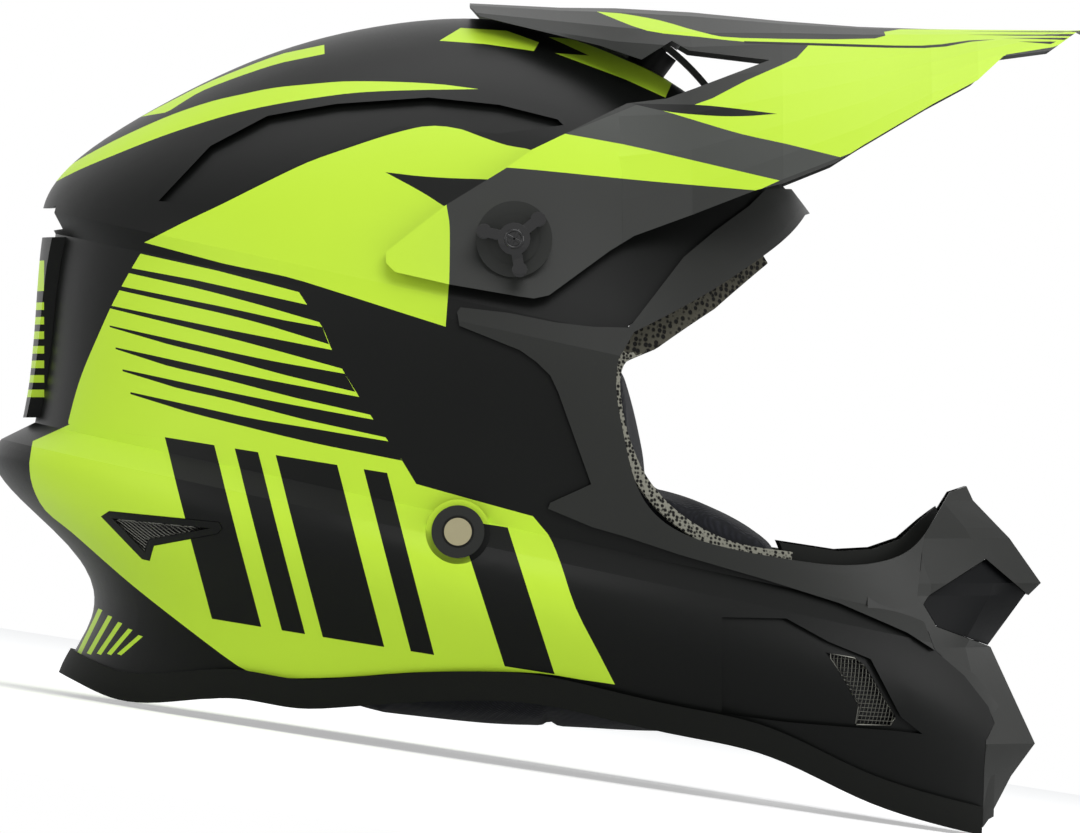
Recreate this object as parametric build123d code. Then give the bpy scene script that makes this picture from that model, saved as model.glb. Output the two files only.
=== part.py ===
"""A motocross helmet: moulded shell with a chin bar, tilting peak, foam liner, cheek pads and double-D strap.

It is modelled in the attitude in which it is worn, x forward, y to the wearer's left and z up, and set
down at the end so that it rests on its chin and its neck edge. All lengths are in millimetres.
"""
from build123d import *
from build123d.topology import SkipClean
from collections import namedtuple
from functools import cache
from math import atan2, copysign, cos, degrees, hypot, pi, radians, sin
import os

FAR = 400  # beyond every edge of the helmet

# ---- the shell's form ------------------------------------------------------------------------------
BELT_TILT = 12.3  # the shell's creases fall towards the chin by this angle, degrees
WALL = 3.5  # shell thickness
SEAT_GAP = 0.3  # clearance between pieces that lie against each other
JOINT_GAP = 0.2  # clearance along a seam between two mouldings
PROUD, BEHIND = 1.8, 2.2  # how far edge mouldings stand outside and inside the shell's wall

# One ring of the shell, level with the creases: its height, how far it reaches back and forward, its
# half width, and how square its back and front are (2 is an ellipse).
Ring = namedtuple("Ring", "height rear front half square_back square_front")
SKIRT = [
    Ring(6, -166, 140, 92, 2.2, 1.8),
    Ring(27, -170, 155, 99, 2.2, 1.8),
    Ring(45, -167, 161, 106, 2.3, 1.8),
    Ring(66, -186, 161, 119, 2.3, 1.8),
    Ring(93, -210, 150, 122.5, 2.4, 1.8),
]
BODY = [
    Ring(101, -200, 139, 116.5, 2.4, 1.85),
    Ring(120, -201, 129, 117.5, 2.4, 1.9),
    Ring(142, -204, 113, 118, 2.4, 1.95),
    Ring(166, -207, 96, 116.5, 2.3, 2.0),
]
CROWN = [
    Ring(173, -213, 88, 115, 2.3, 2.0),
    Ring(186, -209.5, 79, 110.5, 2.25, 2.05),
    Ring(208, -191, 62, 99.5, 2.2, 2.1),
    Ring(228, -168, 43.5, 85, 2.15, 2.15),
    Ring(246, -142, 20, 66.5, 2.1, 2.1),
    Ring(260, -113, -5, 46, 2.0, 2.0),
    Ring(268.5, -86, -33, 25, 2.0, 2.0),
    Ring(271, -70, -48, 11, 2.0, 2.0),
]
WIDEST = -45  # where the side rings are widest, along the belt
CROWN_FROM, CROWN_TO = 166, 272  # between these heights the skin turns from upright to level
RING_POINTS = 24  # points through which each ring's curve is drawn

# ---- the eye port and its moulding, seen from the side as (x, z) -------------------------------------
BROW_TIP = (91.4, 212.9)
PORT_BROW = [BROW_TIP, (86.3, 206.5), (74.2, 196.7), (57.3, 185.6), (32.1, 172.2)]
PORT_CHEEK = [(26.8, 163), (26.1, 151), (28.1, 139), (31.3, 124.7), (35.2, 115.2)]
PORT_SILL = [(41.5, 108), (60.5, 99.4), (83.1, 94.9), (101.1, 92.6), (114.1, 93.2), (127.1, 98),
             (134.6, 107), (140.8, 117.3)]
BROW_OUT, CHEEK_OUT, SILL_OUT = (-0.55, 0.85), (-1, -0.35), (-0.3, -1)  # the ways in which the port widens
PORT_OPEN = 90  # how far beyond its ends the port opens upwards
LIP = 3  # width of the port moulding's rolled edge
SURROUND = [(-28.2, 178.9), (-27, 180.5), (-10.7, 178.6), (5.1, 175.4), (17.8, 173.9), (30.4, 173.6),
            (49, 197.7), (59.7, 206.7), (71.8, 215.6), (77.6, 221.5), (98, 222), (98, 205), (34, 165),
            (34, 120), (60, 108), (118, 112), (150, 120), (150, 60), (135.2, 63.3), (125.9, 69.3),
            (118.7, 72.5), (102.1, 79.7), (75.9, 88), (47.5, 96.3), (28.9, 102.5), (17.8, 105.7),
            (2.7, 112), (3.5, 114), (17.4, 120.3), (17, 121.5), (6.2, 151.6), (3.5, 157.3),
            (-1.2, 161.9), (-6.8, 165.9), (-27.4, 174.2)]

# ---- the lower edge --------------------------------------------------------------------------------
TRIM_TOP = [(-175, 69), (-160.4, 62.8), (-145.6, 56.6), (-103.5, 57), (-82.8, 53.8), (-67.3, 54.2),
            (-20.7, 56.6), (0, 55.2), (24.8, 49.7), (47.6, 44.5), (75.9, 38), (91.4, 31.4),
            (110.4, 22.1), (151.5, 9.3), (175, 3)]
TRIM_HEIGHT, TRIM_COVER = 10, 6  # the rubber edge's height, and how much of it covers the shell
CHIN_REST, NECK_REST = (151.5, 0.6), (-145.6, 46.6)  # what the helmet stands on

# ---- mouthpiece ------------------------------------------------------------------------------------
MOUTH_SEAM = [(137, 130), (131, 98), (129, 80), (135.2, 63.3), (145.5, 54.5), (153.9, 43.8), (156, 38),
              (153, 32.1), (152.4, 21.9), (152, -20)]
# Level sections of the muzzle: height, then (x, half width) from back to front.
MUZZLE = [
    (-4, [(104, 66), (130, 46), (148, 31), (151.8, 16)]),
    (4.7, [(104, 68), (130, 48), (148, 32), (154.5, 16)]),
    (19.6, [(104, 74), (130, 56), (150, 37), (162.2, 17)]),
    (30.8, [(104, 80), (132, 60), (154, 39), (170.4, 18)]),
    (64.1, [(104, 84), (134, 59), (146, 42), (155, 23)]),
    (81.9, [(104, 82), (134, 55), (156, 38), (168, 25)]),
    (86.1, [(104, 81), (134, 53), (157, 37), (172.3, 25)]),
    (101.5, [(104, 77), (128, 53), (148, 37), (161.5, 24)]),
    (105.1, [(104, 76), (127, 52), (146, 36), (158, 24)]),
    (114.5, [(104, 73), (124, 50), (138, 36), (149, 23)]),
    (121, [(104, 72), (122, 49), (134, 36), (146, 23)]),
]
MUZZLE_BACK = 20  # how far the muzzle's block runs on behind its sections
MUZZLE_WALL = 3
HOOD = [(112, 130), (149, 121), (149, 114.5), (158, 105.1), (161.5, 101.5), (172.3, 86.1), (168, 81.9),
        (153.2, 94.5), (133.1, 81.9), (131.3, 79), (135.9, 71.3), (135.2, 63.3), (112, 76)]
INSERT = [(168, 81.9), (153.2, 94.5), (133.1, 81.9), (131.3, 79), (135.9, 71.3), (155, 64.1)]
INSERT_DEPTH = 1.4
NOSE = [(135.2, 63.3), (135.9, 71.3), (155, 64.1), (170.4, 30.8), (162.2, 19.6), (158, 6.5), (154.5, 4.7),
        (151.5, 0.6), (140, 0.6), (120, 60)]
FLANGE = 3  # depth, behind the shell's wall, of the mouthpiece's flange
FLANGE_LAP, FLANGE_STEP = 8, 4  # how far the flange runs behind the seam and ahead of it

# ---- vents -----------------------------------------------------------------------------------------
REAR_VENT = [(-150, 109.2), (-147.1, 111.1), (-109.1, 107.5), (-108, 105.2), (-109.7, 103.3),
             (-131.7, 99.2), (-133.3, 94), (-136, 94.6)]
REAR_VENT_RIM = 2.4
CHIN_VENT = [(97.4, 62.9), (107.5, 61.1), (111.1, 58.2), (121.8, 40.4), (120, 37.4), (107.5, 37.9),
             (108.7, 44.5), (100.4, 58.8)]
VENT_MESH = 1.0  # thickness of every vent's mesh
VENT_RECESS = 1.6  # how far the mesh sits below the skin
REAR_SLOT = [(-190, 205.5), (-150, 209), (-150, 217), (-190, 213.5)]
REAR_SLOT_HALF, REAR_SLOT_LAP = 34, 4
MOUTH_VENT = (64, 79)  # heights of the vent's lower and upper edge in the insert
MOUTH_VENT_HALF, MOUTH_VENT_LAP = 19, 2.5  # its half width, and how far the mesh laps behind its edges
MOUTH_VENT_FROM = 91  # the mouth vent is ahead of this

# ---- the shell's relief ----------------------------------------------------------------------------
SCOOP = [(-130.4, 217), (-112.8, 235.9), (-93.2, 246.3), (-70, 250.3), (-38, 252.5), (-14, 250), (6, 245),
         (8, 243), (-14, 240), (-48, 242.5), (-83, 229.5), (-108, 217), (-114, 215.6)]
SCOOP_DROP = 2.6  # how far the scoop's floor sits below the skin, straight down
SPINE = [(34, 205), (31, 186), (25, 143), (-25, 143), (-31, 186), (-34, 205)]  # (y, z) from behind
SPINE_PROUD = 4.4
SPINE_TO = -100  # the spine is behind this
CHANNEL = [(62, 75), (84, 74.5), (98.5, 66.5), (113, 60.5), (123.5, 40.5), (131, 34.6), (121.5, 35.8),
           (84, 39), (62, 42)]
CHANNEL_DEPTH = 1.6
CHANNEL_FROM = 60  # the chin channels are further than this from the middle

# ---- fixings of the peak ---------------------------------------------------------------------------
PIVOT = (-8.8, 203.7)
PIVOT_SEAT, PIVOT_BACK = 111, 94  # half distances to the outer and inner faces of the shell's bosses
PIVOT_BOSS_R = 12
PIVOT_RUN = 0.2  # running gap between each stacked face of the pivots
BOLT_R = 2.5
BOLT_END = 4  # how far a thumb screw's bolt comes through its boss
RUN_GAP = 0.06  # radial running clearance
PLAY = 0.5  # clearance round a seated disc
INSERT_R, INSERT_FLANGE_R, INSERT_FLANGE = 4.0, 8.0, 1.6
INSERT_SUNK = 0.5  # how far an insert stops below its boss's face
EAR_PAD_R, EAR_PAD = 13, 7.4
WASHER_R, WASHER = 8.5, 1.2
KNOB_HUB_R, KNOB_LOBE_R, KNOB_REACH, KNOB_HEIGHT, KNOB_WEB = 5.5, 2.6, 10.6, 6.5, 3.6
KNOB_HUB_RISE, KNOB_LIFT = 1.5, 1.0  # the hub stands above the lobes, which stand off the washer
KNOB_LOBES = (166, 39, -80)  # directions of the lobes, degrees
SCREW_HEAD_R, SCREW_HEAD, SCREW_BOSS_R = 5, 3, 7
SCREW_SOCKET_R, SCREW_SOCKET = 2.2, 1.8
SCREW_REACH = 16  # depth of the centre boss

# ---- fixings of the strap, and the strap -----------------------------------------------------------
RIVET = (-27.9, 104.2)
RIVET_SEAT, RIVET_BACK = 121.5, 112  # half distances to the outer and inner faces of the shell's seats
RIVET_SEAT_R = 11
RIVET_R, RIVET_HEAD_R, RIVET_HEAD, RIVET_TAIL = 2.5, 4.7, 1.5, 0.9
RIVET_TAIL_R = 4.2
GROMMET_R, GROMMET = 9, 2.2
GROMMET_DISH, GROMMET_DISH_R = 1, 5.5  # depth and radius of the dish in which the rivet's head sits
EYELET_R, EYELET = 8, 1.2
STRAP_WIDTH, STRAP = 24, 1.8
STRAP_SLACK = 0.1  # clearance each side of the strap under its rivet
STRAP_HANG = RIVET_BACK - STRAP / 2 - STRAP_SLACK  # half distance to the strap's middle under the rivet
STRAP_RUN = [(STRAP_HANG, RIVET[1] + 8), (STRAP_HANG, 92), (107, 80), (92, 67), (60, 60)]
STRAP_RIGHT = [*STRAP_RUN, (44, 54.8), (34, 54.2), (30, 57), (30, 64), (34, 67.6), (48, 67.8)]
STRAP_LEFT = [*STRAP_RUN, (44, 56.4), (12, 54.4), (-18, 54.2), (-26, 54.6), (-28, 57.8), (-26, 61),
              (-14, 61), (30, 61)]
STRAP_SLOT = [*STRAP_RUN, (40, 56)]  # the strap's way through the cheek pad
STRAP_SLOT_PLAY = 3  # how much wider and higher that way is than the strap
D_RING_R, D_RING_INNER = 1.7, 26
D_RING_BAR, D_RING_LEGS, D_RING_DEPTH = -34.3, 8, 15.6  # the bar's inner face, and the ring's inner depth
D_RING_HEIGHTS = (57.9, 64.0)

# ---- linings ---------------------------------------------------------------------------------------
HEAD = (-28, 150)  # middle of the head's ellipsoid, seen from the side
HEAD_LENGTH, HEAD_WIDTH, HEAD_HEIGHT = 101, 79, 86  # its half axes, to the face of the comfort lining
NECK_DEPTH = 160  # how far the head's space runs down
CROWN_PAD = 6
FACE_LENGTH, FACE_WIDTH, FACE_HEIGHT = 118, 55, 200  # half axes and height of the space for the jaw
LINER_GAP = 1.6  # between the shell and the liner
LINER_CLEAR, SCREW_CLEAR, SCREW_DEEP = 6, 2, 8  # room in the liner behind and round the bosses
CHEEK_CLEAR = (3, 8)  # room in the cheek pad round and behind the strap's rivet
NECK_ROLL, CHIN_FOAM, BREATH_FLAP = 16.8, 20.5, 2.8 - SEAT_GAP
LINER = [(-230, 78), (-120, 72), (-84, 70), (-74, 100), (-46, 130), (-4, 160), (26, 176), (56, 191),
         (84, 214), (100, 240), (60, 300), (-230, 300)]
CROWN_LINE = [(-230, 84), (-120, 78), (-88, 78), (-76, 108), (-48, 138), (-6, 168), (20, 180), (56, 200),
              (90, 240), (60, 300), (-230, 300)]
CHEEK = [(28.9, 158.8), (31.3, 149.4), (34.4, 135), (39.2, 123.2), (44.7, 118.7), (60.6, 114),
         (70.9, 107.3), (78.8, 102.9), (82.7, 96.9), (80, 60), (72, 36), (47.6, 34.5), (17.9, 36.9),
         (0, 37.7), (-31.7, 39.2), (-55.5, 41.4), (-72.5, 44.9), (-72, 92), (-44, 124), (-2, 154),
         (24, 168)]
CHEEK_INNER = 10  # the cheek pads are further than this from the middle
NECK = [(-200, 74), (-120, 68), (-76, 66), (-76, 46), (-94.9, 45.7), (-126.6, 45), (-144.2, 47.6),
        (-165, 50)]
CHIN = [(86, 88), (128, 92), (128, 80), (134, 62), (144, 52), (150, 38), (147, 22), (147, 12), (112, 24),
        (86, 36)]
BREATH = [(81.8, 100.4), (102.1, 97.3), (113.9, 98), (123.5, 101.4), (130.8, 108), (139.7, 115.2),
          (139.7, 84), (128, 84), (86, 90)]

# ---- peak ------------------------------------------------------------------------------------------
PEAK_GAP = 3.2  # between the ears and the shell
PEAK_WALL = 2.6
TONGUE_R, TONGUE, TONGUE_WIDTH = 84, 2.2, 18  # an arc about the pivots
TONGUE_RUN = 0.6  # running gap below the tongue
TONGUE_FROM, TONGUE_TO = 22, 51  # degrees forward of upright
SCREW_AT = 37  # degrees forward of upright at which the centre screw stands
TILT_DOWN, TILT_UP = 2, 6  # the peak's travel, degrees, which the tongue's slot gives
SLOT_PLAY = 0.4  # between the centre screw and the slot, round its side and at the end of the travel
PEAK_EDGE = [(-24.2, 290), (190, 290), (190, 274), (185.3, 276.1), (175.6, 269.1), (159, 267),
             (149.7, 258.4), (134.2, 250.1), (110.4, 236), (101.1, 230.1), (83.1, 222.9), (73.5, 220.5),
             (52.1, 212.2), (32.1, 204.9), (23.8, 199.8), (3.1, 184.6), (-2, 183.5), (-7.2, 184.2),
             (-31.4, 188.4), (-49.3, 192.5), (-52.4, 195.6), (-52.4, 199.4), (-32.8, 214.9),
             (-11.8, 227.9), (-2.8, 234.4), (8.3, 239.8), (29.7, 250.5), (43.5, 252.2), (52.8, 255.6),
             (78.7, 265.5), (51.1, 268.8), (45.2, 272.2), (34.8, 265.7), (20.7, 270.5), (-20.7, 280.8),
             (-24.2, 284.5)]
# Cross sections of the peak: x, the plateau's fold lines as (half width, height) from the middle
# outwards, and the wing's lower edge.
PEAK_ROOF = [
    (-26, [(0, 286), (20, 285), (34, 282.5), (39, 279)], (44, 262)),
    (7, [(0, 284.4), (24, 283), (41, 279), (46, 275)], (52, 258)),
    (26, [(0, 284.2), (26, 282.4), (45, 277), (50, 272)], None),
    (52, [(0, 282.8), (27, 281), (47, 275), (54, 270)], (100, 208)),
    (83, [(0, 279.8), (26, 278.4), (43, 275), (50, 271)], (101, 221)),
    (110, [(0, 277.8), (24, 276.8), (39, 274.5), (46, 271.5)], (95, 233)),
    (134, [(0, 277), (21, 276.3), (34, 274.6), (41, 272.5)], (87, 247)),
    (150, [(0, 276.8), (18, 276.2), (29, 274.8), (35, 273.4)], (78, 255)),
    (176, [(0, 276.6), (9, 276.4), (15, 275.8), (19, 275)], (50, 266)),
    (190, [(0, 276.5), (4, 276.4), (7, 276.2), (9, 275.9)], (26, 272)),
]
WING_BOW = 3  # how far a wing bulges beyond a straight line
WING_FROM, EAR_TOP = 26, 256  # ahead of the first the wings leave the ears, which end below the second
EAR_LAP = 2  # how far the ears run on into the wings
EAR_HEIGHTS = (259, 246, 232, 217, 200)


# ---- forms -----------------------------------------------------------------------------------------
def belt(x, y, z):
    """A point given along and above the belt line, in the worn attitude."""
    tilt = radians(BELT_TILT)
    return Vector(x * cos(tilt) + z * sin(tilt), y, z * cos(tilt) - x * sin(tilt))


def moved_in(ring, inset):
    """A ring's middle, rear, front, half width and height once the skin is moved in by inset."""
    share = min(1.0, max(0.0, (ring.height - CROWN_FROM) / (CROWN_TO - CROWN_FROM)))
    lean = share**2
    across = inset * (1 - lean**2) ** 0.5
    middle = WIDEST * (1 - share) + (ring.rear + ring.front) / 2 * share
    return middle, ring.rear + across, ring.front - across, ring.half - across, ring.height - inset * lean


def ring_wire(ring, inset):
    """The closed curve of one ring, moved in by inset along the skin's normal."""
    middle, rear, front, half, level = moved_in(ring, inset)
    points = []
    for k in range(RING_POINTS):
        turn = pi + 2 * pi * k / RING_POINTS
        ahead = cos(turn) > 0
        power = 2 / (ring.square_front if ahead else ring.square_back)
        along = abs(cos(turn)) ** power * (front - middle if ahead else rear - middle)
        aside = copysign(abs(sin(turn)) ** power, sin(turn)) * half
        points.append(belt(middle + along, aside, level))
    return Wire([Spline(*points, periodic=True)])


def skin_half(x, z, inset=0.0):
    """The skin's half width at a side-view point."""
    tilt = radians(BELT_TILT)
    along, level = x * cos(tilt) - z * sin(tilt), x * sin(tilt) + z * cos(tilt)
    rings = [*SKIRT, *BODY, *CROWN]
    forms = [(*moved_in(ring, inset), ring.square_front) for ring in rings]
    low, high = next((a, b) for a, b in zip(forms, forms[1:]) if level <= b[4])
    share = (level - low[4]) / (high[4] - low[4])
    middle, rear, front, half, _, square = [a + (b - a) * share for a, b in zip(low, high)]
    reach = (along - middle) / (front - middle if along > middle else rear - middle)
    return half * (1 - reach**square) ** (1 / square) if reach < 1 else 0.0


@cache
def skin(inset=0.0):
    """The solid inside the shell's outer surface moved in by inset, or out if it is negative."""
    bands = [
        (SKIRT, False), ([SKIRT[-1], BODY[0]], True), (BODY, False),
        ([BODY[-1], CROWN[0]], True), (CROWN, False),
    ]
    solids = [Solid.make_loft([ring_wire(r, inset) for r in rings], ruled) for rings, ruled in bands]
    return solids[0].fuse(*solids[1:])


def layer(outside, inside, zone):
    """The wall between two insets of the shell's skin, where it lies in a zone."""
    return (skin(outside) & zone) - skin(inside)


def at(points, y=0.0):
    """Side-view points as 3-D ones."""
    return [Vector(x, y, z) for x, z in points]


def prism(edges, y_from=-FAR, y_to=FAR):
    """A closed side-view outline carried straight through the helmet."""
    face = Face(Wire(edges)).moved(Location((0, y_from, 0)))
    return Solid.extrude(face, Vector(0, y_to - y_from, 0))


def straight(points):
    """Edges joining side-view points in turn."""
    joints = at(points)
    return [Edge.make_line(a, b) for a, b in zip(joints, joints[1:])]


def smooth(points):
    """One smooth edge through side-view points."""
    return [Edge.make_spline(at(points))]


def polygon(points, y_from=-FAR, y_to=FAR, grow=0.0):
    """A straight-sided side-view outline carried through the helmet, wider by grow all round."""
    wire = Wire(straight([*points, points[0]]))
    if grow:
        wire = wire.offset_2d(grow, kind=Kind.INTERSECTION)
    return prism(wire.edges(), y_from, y_to)


def round_y(radius, y_from, y_to, centre):
    """A cylinder across the helmet about a side-view point."""
    way = Vector(0, copysign(1, y_to - y_from), 0)
    plane = Plane(origin=(centre[0], y_from, centre[1]), x_dir=(1, 0, 0), z_dir=way)
    return Solid.make_cylinder(radius, abs(y_to - y_from), plane)


def radial(radius, near, far, angle=SCREW_AT):
    """A cylinder that points away from the peak's pivots, leaning forward by angle."""
    lean = radians(angle)
    out = Vector(sin(lean), 0, cos(lean))
    plane = Plane(origin=Vector(PIVOT[0], 0, PIVOT[1]) + out * near, x_dir=(0, 1, 0), z_dir=out)
    return Solid.make_cylinder(radius, far - near, plane)


def thicken(points, wall):
    """The lower face of a sheet whose upper face is a line of (half width, height) points."""
    lower = []
    for k, (y, z) in enumerate(points):
        y0, z0 = points[max(k - 1, 0)]
        y1, z1 = points[min(k + 1, len(points) - 1)]
        size = hypot(y1 - y0, z1 - z0)
        lower.append((y + (z1 - z0) / size * wall, z - (y1 - y0) / size * wall))
    return lower


def below_trim(lowered):
    """Everything under the trim's top line moved down by lowered."""
    line = [(x, z - lowered) for x, z in TRIM_TOP]
    return prism(smooth(line) + straight([line[-1], (FAR, -FAR), (-FAR, -FAR), line[0]]))


def widened(points, way, grow):
    """Points of the port's outline moved out by grow in one direction."""
    return [(x + way[0] * grow, z + way[1] * grow) for x, z in points]


def port(grow=0.0):
    """The eye port seen from the side, wider by grow all round."""
    brow = widened(PORT_BROW, BROW_OUT, grow)
    cheek = widened(PORT_CHEEK, CHEEK_OUT, grow) + widened(PORT_SILL, SILL_OUT, grow)
    ahead = [(FAR, cheek[-1][1] + PORT_OPEN), (FAR, brow[0][1] + PORT_OPEN)]
    return prism(smooth(brow) + straight([brow[-1], cheek[0]]) + smooth(cheek)
                 + straight([cheek[-1], *ahead, brow[0]]))


def ahead_of_seam(shift=0.0):
    """The space in front of the seam between shell and mouthpiece."""
    seam = [(x + shift, z) for x, z in MOUTH_SEAM]
    return polygon([*seam, (FAR, seam[-1][1]), (FAR, seam[0][1])])


@cache
def muzzle(inset=0.0):
    """The faceted nose of the chin bar, moved in by inset."""
    wires = []
    for height, half in MUZZLE:
        side = [(x - inset, y - inset) for x, y in half]
        loop = [(side[0][0] - MUZZLE_BACK, side[0][1])] + side
        points = [Vector(x, -y, height) for x, y in loop] + [Vector(x, y, height) for x, y in reversed(loop)]
        wires.append(Wire.make_polygon(points, close=True))
    return Solid.make_loft(wires, True)


# ---- shell -----------------------------------------------------------------------------------------
def spine():
    """The raised panel down the middle of the back, below the exhaust slot."""
    outline = Wire.make_polygon([Vector(-FAR, y, z) for y, z in SPINE], close=True)
    zone = Solid.extrude(Face(outline), Vector(FAR + SPINE_TO, 0, 0))
    return layer(-SPINE_PROUD, WALL, zone)


def scoop():
    """The recess along each side of the crown: deepest at its upper edge, it runs out down the side."""
    floor = skin().moved(Location((0, 0, -SCOOP_DROP)))
    return (skin(-PROUD) & polygon(SCOOP)) - floor


def chin_channels():
    """The shallow channel in each side of the chin bar that leads air past its vent."""
    return layer(0, CHANNEL_DEPTH, polygon(CHANNEL) - polygon(CHANNEL, -CHANNEL_FROM, CHANNEL_FROM))


def shell():
    """The painted shell with its vents and the seats for the peak and strap fixings."""
    post = radial(SCREW_BOSS_R, TONGUE_R - SCREW_REACH, TONGUE_R - TONGUE_RUN)
    body, hollow = skin().fuse(post), skin(WALL) - post
    for side in (-1, 1):
        for post in (
            round_y(PIVOT_BOSS_R, side * PIVOT_BACK, side * PIVOT_SEAT, PIVOT),
            round_y(RIVET_SEAT_R, side * RIVET_BACK, side * RIVET_SEAT, RIVET),
        ):
            body, hollow = body.fuse(post), hollow - post
        body -= round_y(EAR_PAD_R + PLAY, side * PIVOT_SEAT, side * FAR, PIVOT)
        body -= round_y(RIVET_SEAT_R, side * RIVET_SEAT, side * FAR, RIVET)
    body = body.fuse(spine())
    body -= hollow
    for cut in (
        scoop(), chin_channels(), below_trim(TRIM_COVER), port(LIP), ahead_of_seam(), polygon(REAR_VENT),
        polygon(CHIN_VENT), polygon(REAR_SLOT, -REAR_SLOT_HALF, REAR_SLOT_HALF),
        round_y(INSERT_R, -FAR, FAR, PIVOT), radial(INSERT_R, 0, FAR),
        round_y(RIVET_R + RUN_GAP, -FAR, FAR, RIVET),
    ):
        body -= cut
    return body


def edge_trim():
    """The rubber channel that wraps the shell's lower edge."""
    band = (below_trim(0) - below_trim(TRIM_HEIGHT)) - ahead_of_seam(-JOINT_GAP)
    channel = layer(-PROUD, WALL + BEHIND, band)
    groove = layer(-SEAT_GAP / 2, WALL + SEAT_GAP / 2, band - below_trim(TRIM_COVER + SEAT_GAP / 2))
    return channel - groove


def surround():
    """The moulding round the eye port, which carries on down into the hood over the mouth vent."""
    over = layer(-PROUD, -JOINT_GAP, (polygon(SURROUND) - ahead_of_seam()) - port(0))
    lip = layer(-PROUD, WALL + BEHIND, (port(LIP - JOINT_GAP) - port(0)) - ahead_of_seam())
    hood = ((muzzle() - muzzle(MUZZLE_WALL)) & polygon(HOOD)) - port(0)
    front = hood & ahead_of_seam(JOINT_GAP)
    back = (hood - ahead_of_seam(JOINT_GAP)) - skin(-JOINT_GAP)
    return over.fuse(lip, front, back)


def nose():
    """The lower mouthpiece, with the flange by which it sits inside the shell."""
    zone = polygon(NOSE)
    step = ahead_of_seam(JOINT_GAP) - ahead_of_seam(FLANGE_STEP)
    wall = ((muzzle() - muzzle(MUZZLE_WALL)) & zone) & ahead_of_seam(JOINT_GAP)
    ring = (muzzle() & (zone & step)) - skin(WALL + FLANGE)
    lap = zone & (ahead_of_seam(-FLANGE_LAP) - ahead_of_seam(FLANGE_STEP))
    flange = layer(WALL + JOINT_GAP, WALL + FLANGE, lap)
    return wall.fuse(ring, flange - (below_trim(-SEAT_GAP) - ahead_of_seam(JOINT_GAP)))


# ---- vents -----------------------------------------------------------------------------------------
def mouth_opening(lap=0.0):
    """The mouth vent's opening seen from the front, wider by lap all round."""
    low, high = MOUTH_VENT
    half = MOUTH_VENT_HALF + lap
    corner = Plane(origin=(MOUTH_VENT_FROM, -half, low - lap))
    return Solid.make_box(FAR, 2 * half, high - low + 2 * lap, corner)


def mouth_insert():
    """The recessed insert between hood and nose, with the mouth vent's opening."""
    wall = muzzle(INSERT_DEPTH) - muzzle(INSERT_DEPTH + MUZZLE_WALL)
    return (wall & polygon(INSERT, grow=-JOINT_GAP)) - mouth_opening()


def mouth_mesh():
    """The mesh behind the mouth vent."""
    depth = INSERT_DEPTH + MUZZLE_WALL + SEAT_GAP
    return (muzzle(depth) - muzzle(depth + VENT_MESH)) & mouth_opening(MOUTH_VENT_LAP)


def vent_mesh(outline, grow):
    """The mesh that closes a right side vent."""
    return layer(VENT_RECESS, VENT_RECESS + VENT_MESH, polygon(outline, -FAR, -CHEEK_INNER, grow=grow))


def rear_bezel():
    """The bevelled frame of the right rear vent."""
    outer = polygon(REAR_VENT, -FAR, -CHEEK_INNER, grow=-JOINT_GAP)
    ring = outer - polygon(REAR_VENT, -FAR, -CHEEK_INNER, grow=-REAR_VENT_RIM)
    return layer(-JOINT_GAP, WALL, ring)


def rear_mesh():
    """The mesh behind the exhaust slot under the rear spoiler."""
    half = REAR_SLOT_HALF + REAR_SLOT_LAP
    slot = polygon(REAR_SLOT, -half, half, grow=REAR_SLOT_LAP)
    return layer(WALL + SEAT_GAP, WALL + SEAT_GAP + VENT_MESH, slot)


# ---- linings ---------------------------------------------------------------------------------------
def head_space(grow=0.0):
    """The head's space, open below, wider by grow."""
    length, width, height = HEAD_LENGTH + grow, HEAD_WIDTH + grow, HEAD_HEIGHT + grow
    ball = scale(Sphere(1), by=(length, width, height))
    neck = extrude(Ellipse(length, width), -NECK_DEPTH)
    return Location((HEAD[0], 0, HEAD[1])) * (ball + neck)


def face_space():
    """The space that the jaw takes between the cheek pads."""
    return Location((HEAD[0], 0, 0)) * extrude(Ellipse(FACE_LENGTH, FACE_WIDTH), FACE_HEIGHT)


def liner():
    """The expanded polystyrene liner round the crown and the back of the head."""
    block = skin(WALL + LINER_GAP) & polygon(LINER)
    block -= head_space(CROWN_PAD)
    for side in (-1, 1):
        block -= round_y(PIVOT_BOSS_R + PLAY, side * (PIVOT_BACK - LINER_CLEAR), side * FAR, PIVOT)
    block -= radial(SCREW_BOSS_R + SCREW_CLEAR, TONGUE_R - SCREW_REACH - SCREW_DEEP, FAR)
    return block


def crown_pad():
    """The comfort lining inside the liner."""
    return (head_space(CROWN_PAD - SEAT_GAP) - head_space()) & polygon(CROWN_LINE)


def cheek_pad():
    """The right cheek pad, with the slot through which the strap comes."""
    room, depth = CHEEK_CLEAR
    pad = (skin(WALL + BEHIND + SEAT_GAP) & polygon(CHEEK, -FAR, -CHEEK_INNER)) - face_space()
    pad -= round_y(RIVET_SEAT_R + room, depth - RIVET_BACK, -FAR, RIVET)
    return pad - ribbon(STRAP_SLOT, STRAP_WIDTH + STRAP_SLOT_PLAY, STRAP + STRAP_SLOT_PLAY)


def behind_edge(depth, outline):
    """A lining of some depth that starts behind the edge mouldings."""
    near = WALL + BEHIND + SEAT_GAP
    return layer(near, near + depth, outline)


def chin_foam():
    """The foam block behind the chin bar."""
    near = WALL + FLANGE + SEAT_GAP
    return layer(near, near + CHIN_FOAM - FLANGE, polygon(CHIN) - polygon(BREATH, grow=SEAT_GAP))


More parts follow.
